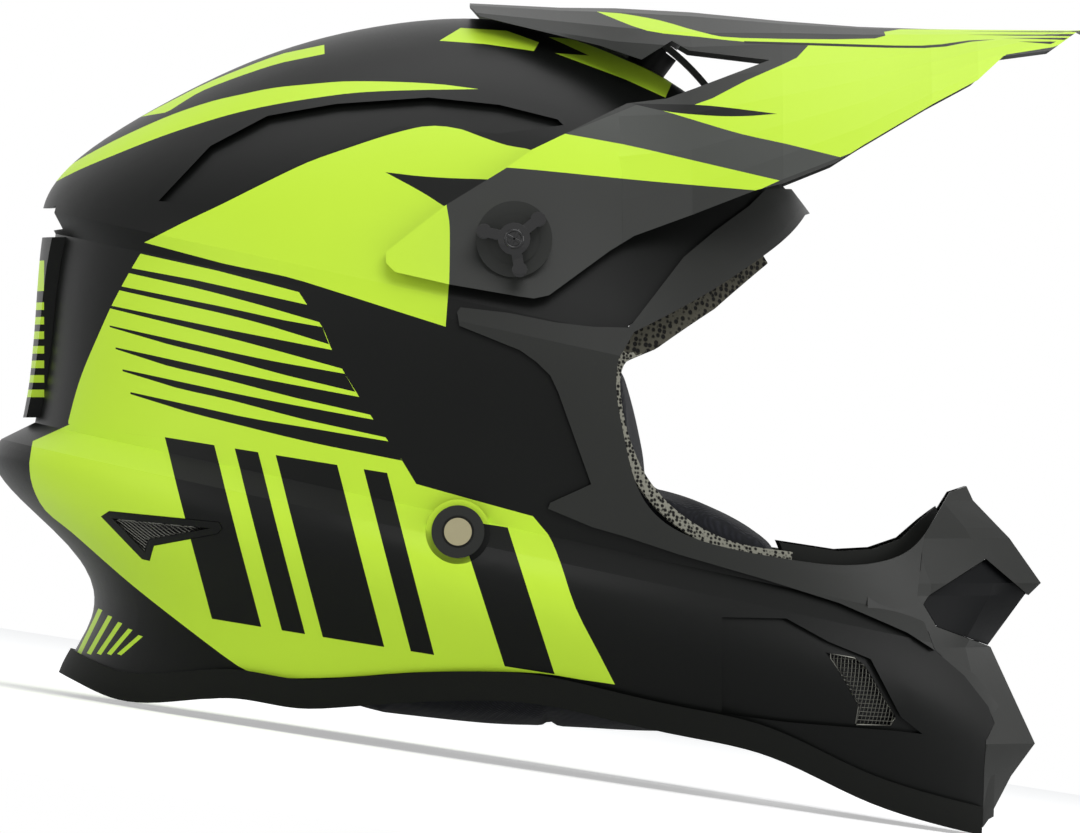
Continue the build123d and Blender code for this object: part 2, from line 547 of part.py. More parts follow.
# ---- peak and its fixings --------------------------------------------------------------------------
def wing(edge, low):
    """Points down a wing from the plateau's edge to the wing's lower edge."""
    (y0, z0), (y1, z1) = edge, low
    size = hypot(y1 - y0, z1 - z0)
    points = []
    for k in range(1, len(EAR_HEIGHTS) + 1):
        t = k / len(EAR_HEIGHTS)
        bow = 4 * WING_BOW * t * (1 - t) / size
        points.append((y0 + (y1 - y0) * t + (z0 - z1) * bow, z0 + (z1 - z0) * t + (y1 - y0) * bow))
    return points


@cache
def roof():
    """The peak's folded sheet, lofted through its cross sections."""
    wires = []
    for x, plateau, low in PEAK_ROOF:
        if low is None:
            side = [(skin_half(x, z, -PEAK_GAP - PEAK_WALL), z) for z in EAR_HEIGHTS]
        else:
            side = wing(plateau[-1], low)
        half = plateau + side
        line = [(-y, z) for y, z in reversed(half[1:])] + half
        ring = line + list(reversed(thicken(line, PEAK_WALL)))
        wires.append(Wire.make_polygon([Vector(x, y, z) for y, z in ring], close=True))
    return Solid.make_loft(wires, True)


def behind_wings(lap=0.0):
    """The space behind the wings and below the plateau, where only the ears are."""
    return Solid.make_box(FAR, 2 * FAR, FAR, Plane(origin=(WING_FROM + lap - FAR, -FAR, EAR_TOP - FAR)))


def peak():
    """The peak: a plateau, two wings and two ears that hug the shell."""
    side = polygon(PEAK_EDGE)
    whole = (roof() & side) - behind_wings()
    for ear in layer(-PEAK_GAP - PEAK_WALL, -PEAK_GAP, side & behind_wings(EAR_LAP)).solids():
        whole = whole.fuse(ear)
    for hand in (-1, 1):
        seat = hand * (PIVOT_SEAT + PIVOT_RUN)
        whole = whole.fuse(round_y(EAR_PAD_R, seat, seat + hand * EAR_PAD, PIVOT))
        whole -= round_y(PIVOT_BOSS_R + 2 * PLAY, seat, hand * PIVOT_BACK, PIVOT)
    return whole - round_y(BOLT_R + RUN_GAP, -FAR, FAR, PIVOT)


def sector(inner, outer, first, last):
    """A flat sector of a ring; its leans are measured from the plane's own x, clockwise."""
    def spot(radius, lean):
        return Vector(radius * cos(radians(lean)), -radius * sin(radians(lean)), 0)
    middle = (first + last) / 2
    return Face(Wire([
        Edge.make_three_point_arc(spot(outer, first), spot(outer, middle), spot(outer, last)),
        Edge.make_line(spot(outer, last), spot(inner, last)),
        Edge.make_three_point_arc(spot(inner, last), spot(inner, middle), spot(inner, first)),
        Edge.make_line(spot(inner, first), spot(outer, first)),
    ]))


def arc_strip(inner, outer, first, last, half):
    """A strip bent about the pivots between two leans, in degrees."""
    ring = Plane(origin=(PIVOT[0], half, PIVOT[1]), x_dir=(0, 0, 1), z_dir=(0, -1, 0))
    return Solid.extrude(sector(inner, outer, first, last).moved(Location(ring)), Vector(0, -2 * half, 0))


def tongue():
    """The slotted tongue under the peak that the centre screw clamps."""
    strip = arc_strip(TONGUE_R, TONGUE_R + TONGUE, TONGUE_FROM, TONGUE_TO, TONGUE_WIDTH / 2)
    room = degrees((BOLT_R + SLOT_PLAY) / TONGUE_R)
    ends = (SCREW_AT - TILT_DOWN - room, SCREW_AT + TILT_UP + room)
    slot = arc_strip(TONGUE_R - TONGUE, TONGUE_R + 2 * TONGUE, *ends, BOLT_R + SLOT_PLAY)
    return max((strip - slot - roof()).solids(), key=lambda solid: solid.volume)


def thumb_screw():
    """The right-hand thumb screw: a hub with three lobes, moulded on its bolt."""
    face = PIVOT_SEAT + 2 * PIVOT_RUN + EAR_PAD + WASHER
    under = face + KNOB_LIFT
    knob = round_y(KNOB_HUB_R, -face, -(face + KNOB_HEIGHT + KNOB_HUB_RISE), PIVOT)
    for angle in KNOB_LOBES:
        way = Vector(cos(radians(angle)), 0, sin(radians(angle)))
        tip = (PIVOT[0] + KNOB_REACH * way.X, PIVOT[1] + KNOB_REACH * way.Z)
        lobe = round_y(KNOB_LOBE_R, -under, -(face + KNOB_HEIGHT), tip)
        plane = Plane(origin=Vector(PIVOT[0], -under, PIVOT[1]), x_dir=way, z_dir=(0, -1, 0))
        web = Solid.make_box(KNOB_REACH, KNOB_WEB, KNOB_HEIGHT - KNOB_LIFT, plane)
        web = web.moved(Location(plane.y_dir * (-KNOB_WEB / 2)))
        knob = knob.fuse(web, lobe)
    return knob.fuse(round_y(BOLT_R, -face, BOLT_END - PIVOT_BACK, PIVOT))


def thumb_washer():
    """The washer under the right thumb screw."""
    near = PIVOT_SEAT + 2 * PIVOT_RUN + EAR_PAD
    disc = round_y(WASHER_R, -near, PIVOT_RUN - near - WASHER, PIVOT)
    return disc - round_y(BOLT_R + RUN_GAP, -FAR, FAR, PIVOT)


def pivot_insert():
    """The threaded insert in the right pivot boss."""
    nut = round_y(INSERT_R - RUN_GAP, INSERT_SUNK - PIVOT_SEAT, -PIVOT_BACK, PIVOT)
    nut = nut.fuse(round_y(INSERT_FLANGE_R, -PIVOT_BACK, INSERT_FLANGE - PIVOT_BACK, PIVOT))
    return nut - round_y(BOLT_R + RUN_GAP, -FAR, FAR, PIVOT)


def centre_screw():
    """The screw that clamps the peak's tongue."""
    under = TONGUE_R + TONGUE + PIVOT_RUN
    head = radial(SCREW_HEAD_R, under, under + SCREW_HEAD)
    head -= radial(SCREW_SOCKET_R, under + SCREW_HEAD - SCREW_SOCKET, FAR)
    return head.fuse(radial(BOLT_R, TONGUE_R - SCREW_REACH + KNOB_LIFT, under))


def centre_insert():
    """The threaded insert in the centre boss."""
    end = TONGUE_R - SCREW_REACH
    nut = radial(INSERT_R - RUN_GAP, end, TONGUE_R - TONGUE_RUN - INSERT_SUNK)
    nut = nut.fuse(radial(SCREW_BOSS_R - PLAY, end - INSERT_FLANGE, end))
    return nut - radial(BOLT_R + RUN_GAP, 0, FAR)


# ---- strap -----------------------------------------------------------------------------------------
def ribbon(points, width, wall):
    """A flat band on the wearer's right whose line is given as (distance from the middle, height)."""
    line = [(-y, z) for y, z in points]
    edge = thicken(line, -wall / 2) + list(reversed(thicken(line, wall / 2)))
    loop = [Vector(RIVET[0] - width / 2, y, z) for y, z in edge]
    return Solid.extrude(Face(Wire.make_polygon(loop, close=True)), Vector(width, 0, 0))


def strap(points):
    """A webbing strap on the wearer's right, with the hole for its rivet."""
    return ribbon(points, STRAP_WIDTH, STRAP) - round_y(RIVET_R + RUN_GAP, -FAR, -PIVOT_BACK, RIVET)


def eyelet_face():
    """Half distance to the eyelet's outer face, behind the strap."""
    return RIVET_BACK - STRAP - 2 * STRAP_SLACK


def rivet():
    """The right strap rivet, headed on both sides."""
    under = RIVET_SEAT + GROMMET - GROMMET_DISH
    inside = eyelet_face() - EYELET
    shank = round_y(RIVET_R, -under, -inside, RIVET)
    head = round_y(RIVET_HEAD_R, -under, -(under + RIVET_HEAD), RIVET)
    return shank.fuse(head, round_y(RIVET_TAIL_R, -inside, RIVET_TAIL - inside, RIVET))


def grommet():
    """The dished ring under the right rivet's head."""
    ring = round_y(GROMMET_R, -RIVET_SEAT, -(RIVET_SEAT + GROMMET), RIVET)
    ring -= round_y(GROMMET_DISH_R, -(RIVET_SEAT + GROMMET - GROMMET_DISH), -FAR, RIVET)
    return ring - round_y(RIVET_R + RUN_GAP, -FAR, FAR, RIVET)


def eyelet():
    """The steel plate between the right rivet's tail and the strap."""
    disc = round_y(EYELET_R, -eyelet_face(), EYELET - eyelet_face(), RIVET)
    return disc - round_y(RIVET_R + RUN_GAP, -FAR, FAR, RIVET)


def d_shape(grow):
    """A D, seen from above and wider by grow all round, whose bar is towards the wearer's right."""
    half, back = D_RING_INNER / 2 + grow, D_RING_BAR - grow
    legs, tip = D_RING_BAR + D_RING_LEGS, D_RING_BAR + D_RING_DEPTH + grow
    x = RIVET[0]
    return Face(Wire([
        Edge.make_line((x - half, legs), (x - half, back)),
        Edge.make_line((x - half, back), (x + half, back)),
        Edge.make_line((x + half, back), (x + half, legs)),
        Edge.make_three_point_arc((x + half, legs), (x, tip), (x - half, legs)),
    ]))


def d_ring(height):
    """One steel D-ring of the strap's buckle."""
    up = Vector(0, 0, 2 * D_RING_R)
    ring = Solid.extrude(d_shape(2 * D_RING_R), up) - Solid.extrude(d_shape(0), up)
    return ring.moved(Location((0, 0, height - D_RING_R)))


# ---- the helmet ------------------------------------------------------------------------------------
def middle_pieces():
    """The pieces of which there is one, or whose sides differ."""
    inner, outer = D_RING_HEIGHTS
    return {
        "shell": shell(), "edge_trim": edge_trim(), "port_surround": surround(), "mouthpiece": nose(),
        "mouth_insert": mouth_insert(), "mouth_vent_mesh": mouth_mesh(), "rear_slot_mesh": rear_mesh(),
        "liner": liner(), "crown_pad": crown_pad(), "neck_roll": behind_edge(NECK_ROLL, polygon(NECK)),
        "chin_foam": chin_foam(), "breath_guard": behind_edge(BREATH_FLAP, polygon(BREATH)),
        "peak": peak(), "peak_tongue": tongue(), "centre_screw": centre_screw(),
        "centre_insert": centre_insert(), "strap_right": strap(STRAP_RIGHT),
        "strap_left": strap(STRAP_LEFT).mirror(Plane.XZ), "d_ring_inner": d_ring(inner),
        "d_ring_outer": d_ring(outer),
    }


def right_pieces():
    """The right-hand piece of each pair."""
    return {
        "rear_vent_bezel": rear_bezel(), "rear_vent_mesh": vent_mesh(REAR_VENT, -REAR_VENT_RIM - JOINT_GAP),
        "chin_vent_mesh": vent_mesh(CHIN_VENT, -JOINT_GAP), "cheek_pad": cheek_pad(),
        "thumb_screw": thumb_screw(), "thumb_washer": thumb_washer(), "pivot_insert": pivot_insert(),
        "strap_rivet": rivet(), "rivet_grommet": grommet(), "rivet_eyelet": eyelet(),
    }


def everything():
    """Every piece by name, in the worn attitude."""
    nodes = middle_pieces()
    for name, piece in right_pieces().items():
        nodes[f"{name}_right"] = piece
        nodes[f"{name}_left"] = piece.mirror(Plane.XZ)
    return nodes


def stand(nodes):
    """Set the helmet down on its chin and its neck edge, with the origin under the middle of its box."""
    (chin_x, chin_z), (neck_x, neck_z) = CHIN_REST, NECK_REST
    tilt = degrees(atan2(neck_z - chin_z, chin_x - neck_x))
    level = {name: piece.rotate(Axis.Y, -tilt) for name, piece in nodes.items()}
    boxes = [piece.bounding_box() for piece in level.values()]
    low = [min(getattr(box.min, axis) for box in boxes) for axis in "XYZ"]
    high = [max(getattr(box.max, axis) for box in boxes) for axis in "XYZ"]
    shift = Vector(-(low[0] + high[0]) / 2, -(low[1] + high[1]) / 2, -low[2])
    print("tilt", round(tilt, 4), "shift", shift, "size", [round(b - a, 1) for a, b in zip(low, high)])
    return {name: piece.moved(Location(shift)) for name, piece in level.items()}


def export_all(nodes):
    """Write each piece to its own STEP file."""
    os.makedirs("parts", exist_ok=True)
    for name, solid in nodes.items():
        export_step(solid, f"parts/{name}.step")


if __name__ == "__main__":
    with SkipClean():
        export_all(stand(everything()))
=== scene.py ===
"""The motocross helmet as it looks: paint, mouldings, grilles, pads, webbing and fixings."""

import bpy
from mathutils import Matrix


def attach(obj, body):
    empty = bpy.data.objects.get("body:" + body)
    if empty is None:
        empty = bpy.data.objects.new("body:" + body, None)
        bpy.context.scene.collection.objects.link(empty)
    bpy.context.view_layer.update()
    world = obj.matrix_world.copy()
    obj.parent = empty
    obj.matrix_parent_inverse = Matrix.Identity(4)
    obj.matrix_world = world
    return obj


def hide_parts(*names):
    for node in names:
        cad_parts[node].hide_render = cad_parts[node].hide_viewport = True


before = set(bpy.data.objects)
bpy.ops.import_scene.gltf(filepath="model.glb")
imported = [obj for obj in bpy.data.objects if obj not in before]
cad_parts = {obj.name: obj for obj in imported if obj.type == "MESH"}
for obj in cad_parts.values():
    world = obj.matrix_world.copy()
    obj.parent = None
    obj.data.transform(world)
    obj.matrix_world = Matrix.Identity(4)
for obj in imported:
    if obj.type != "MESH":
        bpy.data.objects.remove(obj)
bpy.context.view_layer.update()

import math
from collections import defaultdict

import bmesh
import bpy
import numpy as np
from bpy.props import FloatProperty, FloatVectorProperty, IntProperty, PointerProperty
from mathutils import Vector
from mathutils.bvhtree import BVHTree

bl_info = {
    "name": "Motocross helmet",
    "version": (1, 0, 0),
    "blender": (4, 5, 0),
    "location": "3D View > Sidebar > Helmet",
    "description": "Builds a full-face off-road helmet round its engineering model",
    "category": "Object",
}

MM = 0.001
SHELL_BODY, PEAK_BODY = "shell_body", "peak_body"
SIDES = ("right", "left")

# The helmet stands nose up; the paint's outlines are given as it is worn, as (forward, up) in
# millimetres, and these turn and shift them into place.
STAND_TILT = math.radians(8.8012)
STAND_SHIFT = (21.1801, -22.4404)


# ---- places ----------------------------------------------
def placed(x, y, z):
    """A point of the worn attitude, in millimetres, where it is on the standing helmet, in metres."""
    cos, sin = math.cos(STAND_TILT), math.sin(STAND_TILT)
    return Vector((x * cos - z * sin + STAND_SHIFT[0], y, x * sin + z * cos + STAND_SHIFT[1])) * MM


def worn(point):
    """The worn attitude's (forward, up), in millimetres, of a point of the standing helmet."""
    x, z = point.x / MM - STAND_SHIFT[0], point.z / MM - STAND_SHIFT[1]
    cos, sin = math.cos(STAND_TILT), math.sin(STAND_TILT)
    return x * cos + z * sin, z * cos - x * sin


# ---- paint outlines, as (forward, up) in the worn attitude ----
FIELD = [
    (-135.2, 202.8), (-122.1, 209.4), (-109, 215.6), (-93.8, 223.2), (-79.3, 230.1), (-66.2, 234.8),
    (-55.5, 238.4), (-48, 240.6), (-40.4, 242.4), (-35.9, 242.7), (-31.7, 242.4), (-26.9, 241.5),
    (-20, 238.9), (-11.4, 236), (-1.9, 234), (6.9, 228.4), (-13.8, 212.9), (-30.4, 200.8), (-31, 188.7),
    (-32.1, 173.9), (-49.7, 179.5), (-68.4, 185.5), (-86.9, 191.1), (-108.3, 195.6),
]
FIELD_NOTCH = [
    (-52.8, 226.7), (-42.8, 225.5), (-31.7, 224.7), (-17.2, 224.2), (-13.8, 223.6), (-32.1, 214.6),
    (-37.9, 218.4), (-44.8, 222.4),
]
SPEED_FIELD = [
    (-136.6, 199), (-109.8, 193), (-82.1, 185.7), (-79.3, 181.4), (-74.1, 173.8), (-70.8, 166),
    (-66.4, 157.9), (-61.5, 150), (-56.7, 142.3), (-51.6, 134.9), (-70.7, 133.2), (-93.1, 133.5),
    (-117.3, 135.2), (-144.9, 138), (-161.6, 140.8), (-161.6, 141.8), (-158.9, 151.9), (-155.9, 160.4),
    (-151.2, 171.1), (-147, 180.3), (-143.2, 187.6), (-139.6, 194),
]
SPEED_LINES = [
    [(-141.4, 194.4), (-117.5, 189.9), (-79.3, 181.4), (-75, 175.4), (-94.5, 181.1), (-117.5, 187.2),
     (-142.1, 192.7)],
    [(-144.9, 188.2), (-109.8, 181.1), (-86.9, 176.1), (-74.1, 173.8), (-71.8, 167.9), (-91.1, 173.9),
     (-109.8, 178.8), (-145.2, 186.8)],
    [(-148.3, 181.6), (-109.8, 173.6), (-70.8, 166), (-67.3, 159.6), (-89.7, 165.8), (-109.8, 171.1),
     (-149, 180.8)],
    [(-147.2, 174.5), (-147.1, 173.9), (-127.6, 168.2), (-109.8, 163.8), (-86.2, 157.3), (-62.8, 151.7),
     (-66.4, 157.9), (-89.7, 162), (-109.8, 166.2)],
    [(-145.1, 167), (-145.1, 166.4), (-127.6, 160.8), (-109.8, 156.6), (-82.8, 149.6), (-57.6, 143.9),
     (-61.5, 150), (-86.2, 154.6), (-109.8, 159.3)],
    [(-142.7, 159.5), (-142.6, 158.8), (-124.2, 153.2), (-105.3, 148.9), (-79.3, 142.1), (-52.4, 136.2),
     (-56.7, 142.3), (-82.8, 147.1), (-105.3, 151.5)],
    [(-139.9, 151.7), (-139.9, 151), (-120.7, 145.1), (-102.2, 140.4), (-86.9, 136.6), (-70.7, 133),
     (-46.9, 128.3), (-51.6, 134.9), (-79.3, 139.6), (-102.2, 143.5)],
]
LOWER_FIELD = [
    (-160.8, 140.8), (-173.9, 134.9), (-174.9, 127.6), (-173.9, 119.4), (-169.7, 111.1), (-160.8, 103.8),
    (-150.1, 94.5), (-138.7, 84.9), (-120.7, 71.1), (-103.2, 58.3), (-96.6, 55.9), (-89, 54.2),
    (-67.6, 54.5), (-43.8, 56.2), (-20.7, 56.6), (0, 55.9), (13.8, 53.8), (25.5, 52.1), (20, 62.8),
    (12.1, 78.3), (6.9, 93.8), (2.8, 103.2), (-2.4, 109.4), (-22.4, 114.9), (-42.1, 120.4), (-47.3, 129),
    (-70.7, 133.2), (-93.1, 133.5), (-117.3, 135.2), (-144.9, 138),
]
CROWN_STRIPE = [
    (-137.7, 246.6), (-129, 247.8), (-123.5, 251), (-115.6, 255.6), (-100.7, 261.2), (-88.1, 265.1),
    (-74, 267.9), (-74.2, 271.2), (-88, 268.4), (-103.2, 262.9), (-118, 256.7),
]
TOP_STRIPE = [(-34.5, 272.4), (-27.3, 277), (-11.4, 276), (-0.3, 271.9), (-2.1, 268.8), (-18.6, 271.2)]
FRONT_STRIPE = [
    (2.8, 273.9), (10, 273.4), (20, 270.1), (29, 266.3), (37.9, 262.5), (45.5, 258.4), (43.1, 252.9),
    (29.3, 259.1), (5.2, 268.1), (16.9, 267.4),
]
REAR_STRIPE = [
    (-172.2, 221.8), (-158.7, 228), (-144.9, 233.6), (-130.1, 239.3), (-114.9, 244.3), (-103.5, 247.5),
    (-91.4, 250.1), (-76.6, 252.5), (-61.4, 254.3), (-41.4, 255.1), (-21, 255.4), (-32.4, 256.9),
    (-43.8, 257.7), (-55.9, 258.1), (-67.6, 258.1), (-79.3, 257.2), (-91.4, 256), (-102.1, 253.9),
    (-112.8, 251.5), (-125.9, 247.2), (-138.7, 241.8), (-151.8, 235.5), (-163.9, 228.7),
]
# A generic row of slanted bars on the lower field: for each, its foot, width and height.
LOWER_BARS = [(-112, 17, 62), (-88, 8, 62), (-74, 21, 62), (-44, 8, 62), (-12, 17, 50)]
LOWER_BAR_LEAN = 16
LOWER_BAR_MIDDLE, LOWER_BAR_FOOT, LOWER_BAR_DROP = -60, 66, 0.16  # the row's middle, and its fall forwards
REAR_LINES, REAR_LINE_PITCH, REAR_LINE_WIDTH = 6, 3.6, 1.5  # thin lines at the foot of the back
REAR_LINE_FOOT, REAR_LINE_TOP = (-163, 62), (-155.5, 79.5)  # the hindmost line's ends
REAR_LINE_FALL = 2.2  # how much lower each line ends than the one behind it
REAR_LINE_SLOPE = 0.5  # how much lower a line's front edge is than its back edge
# Dashes across the ridge at the back: from where to where, their feet and height, and the patch above.
SPINE_DASHES_X, SPINE_DASHES_Z, SPINE_DASH = (-200, -170.5), range(150, 184, 5), 2.6
SPINE_PATCH = (186.5, 197)

PEAK_FIELD = [
    (19.6, 282.6), (27.6, 282), (41.4, 279.4), (55.2, 275.3), (69, 273.2), (114.9, 273.1), (124.2, 276.7),
    (190, 277.6), (186.3, 274.6), (175.9, 270.1), (159.7, 267.4), (157.7, 263.9), (152.8, 259.8),
    (149, 256), (135.6, 248.1), (110.4, 234.9), (102.4, 231.8), (84.5, 236.3), (69, 239.8), (55.2, 243.9),
    (41.4, 248.1), (33.1, 250), (52.9, 250), (70.7, 258.4), (88, 266.3), (92, 270.6), (70, 271.9),
    (54.2, 273.6), (36.9, 275.7), (22.8, 281.2),
]
PEAK_MARKS = [
    [(70, 272.1), (100, 271.3), (131.1, 270.6), (147.3, 272.5), (156.6, 272.9), (147.3, 271.9),
     (131.8, 269.7), (89.7, 270.7), (70, 271.3)],
    [(31, 250.5), (52.9, 250), (67.3, 248.6), (81.1, 246.8), (72.4, 246.1), (62.1, 246), (48.3, 247),
     (39.7, 248.4)],
    [(144.2, 275.9), (186.3, 276.1), (186.3, 275.6)],
    [(146.6, 274.6), (184.9, 274.9), (183.5, 274)],
    [(158.7, 273.4), (181.5, 273.5), (180.1, 272.7)],
    [(164.2, 272.1), (177.3, 272.1), (175.3, 271.2)],
]
PEAK_STRIPE = [
    (33.1, 250), (41.4, 248.1), (55.2, 243.9), (69, 239.8), (84.5, 236.3), (102.4, 231.8), (81.7, 223.8),
    (55.2, 230.1), (28.2, 236.4), (8.6, 239.9),
]
EAR_STRIPE = [
    (8.6, 239.9), (28.2, 236.4), (55.2, 230.1), (81.7, 223.8), (74.2, 220.4), (37.9, 223.6), (0, 227.3),
    (-14.8, 228.4), (-24.1, 228.4), (-10.3, 231.8), (0, 236),
]
EAR_TIP = [
    (-55.2, 231.8), (-34.5, 231.8), (-31.7, 214.6), (-30.9, 209.8), (-30.7, 202.5), (-30.9, 188.7),
    (-31.4, 180.1), (-55.2, 183.5),
]


# ---- what a user may change ------------------------------
def linear(code):
    """An sRGB hex colour as the linear RGBA that shaders take."""
    channels = [int(code[k:k + 2], 16) / 255 for k in (1, 3, 5)]
    return (*[c / 12.92 if c <= 0.04045 else ((c + 0.055) / 1.055) ** 2.4 for c in channels], 1.0)


def colour_property(name, description, code):
    """A colour that a user may change, given by its sRGB hex code."""
    return FloatVectorProperty(name=name, description=description, subtype="COLOR", size=4, min=0, max=1,
                               default=linear(code))


def size_property(name, description, size):
    """A small size that a user may change, given in mm."""
    return FloatProperty(name=name, description=description, default=size * MM, min=0, unit="LENGTH",
                         precision=5)


def power_property(name, place, watts):
    """The power of a softbox that a user may change."""
    return FloatProperty(name=name, description="Power of the softbox " + place, default=watts, min=0,
                         unit="POWER")


class HelmetColours(bpy.types.PropertyGroup):
    """Colours of the paint, the plastics and the fabrics"""

    panels: colour_property("Panels", "Fluorescent paint of the panels and stripes", "#C6EC3A")
    shell: colour_property("Shell", "Matt base colour of the shell", "#0D0E0D")
    peak: colour_property("Peak", "Bare plastic of the peak", "#2B2C2A")
    stripe: colour_property("Peak stripe", "Grey stripe across the peak's wings", "#40423F")
    mouldings: colour_property("Mouldings", "Plastic round the port and the mouth vent", "#222321")
    lining: colour_property("Lining", "Brushed knit of the pads", "#24252C")
    webbing: colour_property("Webbing", "Nylon of the chin strap", "#1C1C1D")


class HelmetSizes(bpy.types.PropertyGroup):
    """Sizes of the grilles, the padding and the straps"""

    side_pitch: size_property("Side pitch", "Distance between the wires of the side vents", 1.5)
    side_wire: size_property("Side wire", "Thickness of the wires of the side vents", 0.45)
    wide_pitch: size_property("Wide pitch", "Distance between the wires of the mouth and rear slot", 1.8)
    wide_wire: size_property("Wide wire", "Thickness of the wires of the mouth and rear slot", 0.5)
    swell: size_property("Swell", "How far the pads rise above the space they are cut for", 2.2)
    groove: size_property("Sewn channel", "Depth of the sewn channels in the pads", 1.5)
    knob_edge: size_property("Knob edge", "Rounding of the thumb screws' edges", 0.8)
    ribs: IntProperty(name="Ribs", description="Ribs across the chin strap", default=36, min=4, max=80)


class HelmetLights(bpy.types.PropertyGroup):
    """Levels of the softboxes and the surround"""

    key: power_property("Key", "over the near side", 15)
    left: power_property("Left", "on the left, behind the helmet", 6)
    top: power_property("Top", "overhead", 11)
    front: power_property("Front", "before the helmet", 9)
    surround: FloatProperty(name="Surround", description="Strength of the even light all round", default=0.3,
                            min=0)


# ---- materials -------------------------------------------
WAVE = math.pi / 10  # the length of a wave texture's wave at scale 1
WHITE = (1, 1, 1, 1)


def feed(tree, node, inputs):
    """Set a node's sockets; a value that is (node, output) becomes a link."""
    for socket, value in inputs:
        if isinstance(value, tuple) and isinstance(value[0], bpy.types.Node):
            tree.links.new(value[0].outputs[value[1]], node.inputs[socket])
        else:
            node.inputs[socket].default_value = value


def add(tree, kind, inputs=(), **settings):
    """One node with its settings and inputs."""
    node = tree.nodes.new(kind)
    for name, value in settings.items():
        setattr(node, name, value)
    feed(tree, node, inputs)
    return node


def blank(name):
    """A new material's node tree, its shader, and the object's own coordinates."""
    material = bpy.data.materials.new(name)
    material.use_nodes = True
    tree = material.node_tree
    place = add(tree, "ShaderNodeTexCoord")
    return material, tree, tree.nodes["Principled BSDF"], place


def noise(tree, place, scale, detail):
    """Noise of about scale lumps to the metre."""
    inputs = [("Vector", (place, "Object")), ("Scale", scale), ("Detail", detail)]
    return add(tree, "ShaderNodeTexNoise", inputs), "Fac"


def blend(tree, factor, low, high):
    """A colour between two."""
    inputs = [("Factor", factor), ("A", low), ("B", high)]
    return add(tree, "ShaderNodeMix", inputs, data_type="RGBA"), "Result"


def combined(tree, operation, first, second):
    """Two values put together by a mathematical operation."""
    return add(tree, "ShaderNodeMath", [(0, first), (1, second)], operation=operation), "Value"


def spread(tree, value, *limits):
    """A value spread anew; limits are the sockets that aren't left at 0 or 1."""
    return add(tree, "ShaderNodeMapRange", [("Value", value), *limits]), "Result"


def bump(tree, height, strength, depth):
    """The normal of a relief depth mm high."""
    inputs = [("Height", height), ("Strength", strength), ("Distance", depth * MM)]
    return add(tree, "ShaderNodeBump", inputs), "Normal"


def paler(colour, lift):
    """A linear colour made brighter by a factor."""
    return (*[min(c * lift, 1.0) for c in colour[:3]], 1.0)


def moulded(name, colour, lift, roughness, grain, depth, gleam=0.25):
    """A moulded or painted plastic whose colour clouds up to lift times as bright.

    grain and depth are its fine texture's pitch and height in mm."""
    material, tree, shader, place = blank(name)
    cloud = noise(tree, place, 18.0, 3.0)
    fine = noise(tree, place, 1 / (grain * MM), 2.0)
    feed(tree, shader, [
        ("Base Color", blend(tree, cloud, colour, paler(colour, lift))),
        ("Roughness", spread(tree, fine, ("To Min", roughness - 0.05), ("To Max", roughness + 0.05))),
        ("Normal", bump(tree, fine, 0.25, depth)),
        ("Specular IOR Level", gleam),
    ])
    return material


def metal(name, colour, roughness, brush):
    """A bare metal with fine marks of its making, brush mm apart."""
    material, tree, shader, place = blank(name)
    marks = noise(tree, place, 1 / (brush * MM), 3.0)
    feed(tree, shader, [
        ("Base Color", colour),
        ("Metallic", 1.0),
        ("Roughness", spread(tree, marks, ("To Min", roughness - 0.08), ("To Max", roughness + 0.08))),
        ("Normal", bump(tree, marks, 0.15, 0.05)),
    ])
    return material


def woven(name, colour, shaded_gap_colour, thread, sheen, roughness=0.85, coordinates="Object"):
    """A fabric of threads, thread mm apart both ways along the surface, over a darker gap colour that is
    painted shade between the threads.
    """
    material, tree, shader, place = blank(name)
    waves = []
    for turn in ((0.6, 0.0, 0.8), (0.0, 0.75, 0.9)):
        mapping = add(tree, "ShaderNodeMapping", [("Vector", (place, coordinates)), ("Rotation", turn)])
        wave = add(tree, "ShaderNodeTexWave", [("Vector", (mapping, "Vector")), ("Distortion", 0.6),
                                               ("Scale", WAVE / (thread * MM)), ("Detail", 1.0)])
        waves.append((wave, "Fac"))
    weave = combined(tree, "MULTIPLY", *waves)
    faded = combined(tree, "MULTIPLY", weave, noise(tree, place, 60.0, 2.0))
    feed(tree, shader, [
        # the gap colour between the threads is painted shade
        ("Base Color", blend(tree, faded, shaded_gap_colour, colour)),
        ("Normal", bump(tree, weave, 0.5, 0.25)),
        ("Roughness", roughness),
        ("Specular IOR Level", 0.15),
        ("Sheen Weight", sheen),
        ("Sheen Roughness", 0.5),
    ])
    return material


def netted(name, yarn, shaded_hole, cell):
    """An open knitted mesh: pale yarn round holes painted dark, standing for the lining behind them in
    painted shade, cell mm apart.
    """
    material, tree, shader, place = blank(name)
    inputs = [("Vector", (place, "Object")), ("Scale", 1 / (cell * MM)), ("Randomness", 0.45)]
    cells = add(tree, "ShaderNodeTexVoronoi", inputs)
    knit = spread(tree, (cells, "Distance"), ("From Min", 0.34), ("From Max", 0.52))
    feed(tree, shader, [
        # the hole colour is painted shade: the lining seen through the open knit, in shade
        ("Base Color", blend(tree, knit, shaded_hole, yarn)),
        ("Normal", bump(tree, knit, 0.8, 0.4)),
        ("Roughness", 0.8),
        ("Specular IOR Level", 0.15),
    ])
    return material


def beaded(name, colour, groove, bead):
    """Expanded foam: round beads about bead mm across, fused, with painted shade darkening the grooves
    between.
    """
    material, tree, shader, place = blank(name)
    inputs = [("Vector", (place, "Object")), ("Scale", 1 / (bead * MM))]
    cells = add(tree, "ShaderNodeTexVoronoi", inputs, feature="DISTANCE_TO_EDGE")
    crown = spread(tree, (cells, "Distance"), ("From Max", 0.12))
    # the groove colour is painted shade in the crevices between the beads
    feed(tree, shader, [
        ("Base Color", blend(tree, crown, groove, colour)),
        ("Normal", bump(tree, crown, 0.6, 0.3)),
        ("Roughness", 0.75),
    ])
    return material


def chosen(name):
    """A colour as the user has set it."""
    return tuple(getattr(bpy.context.scene.helmet_colours, name))


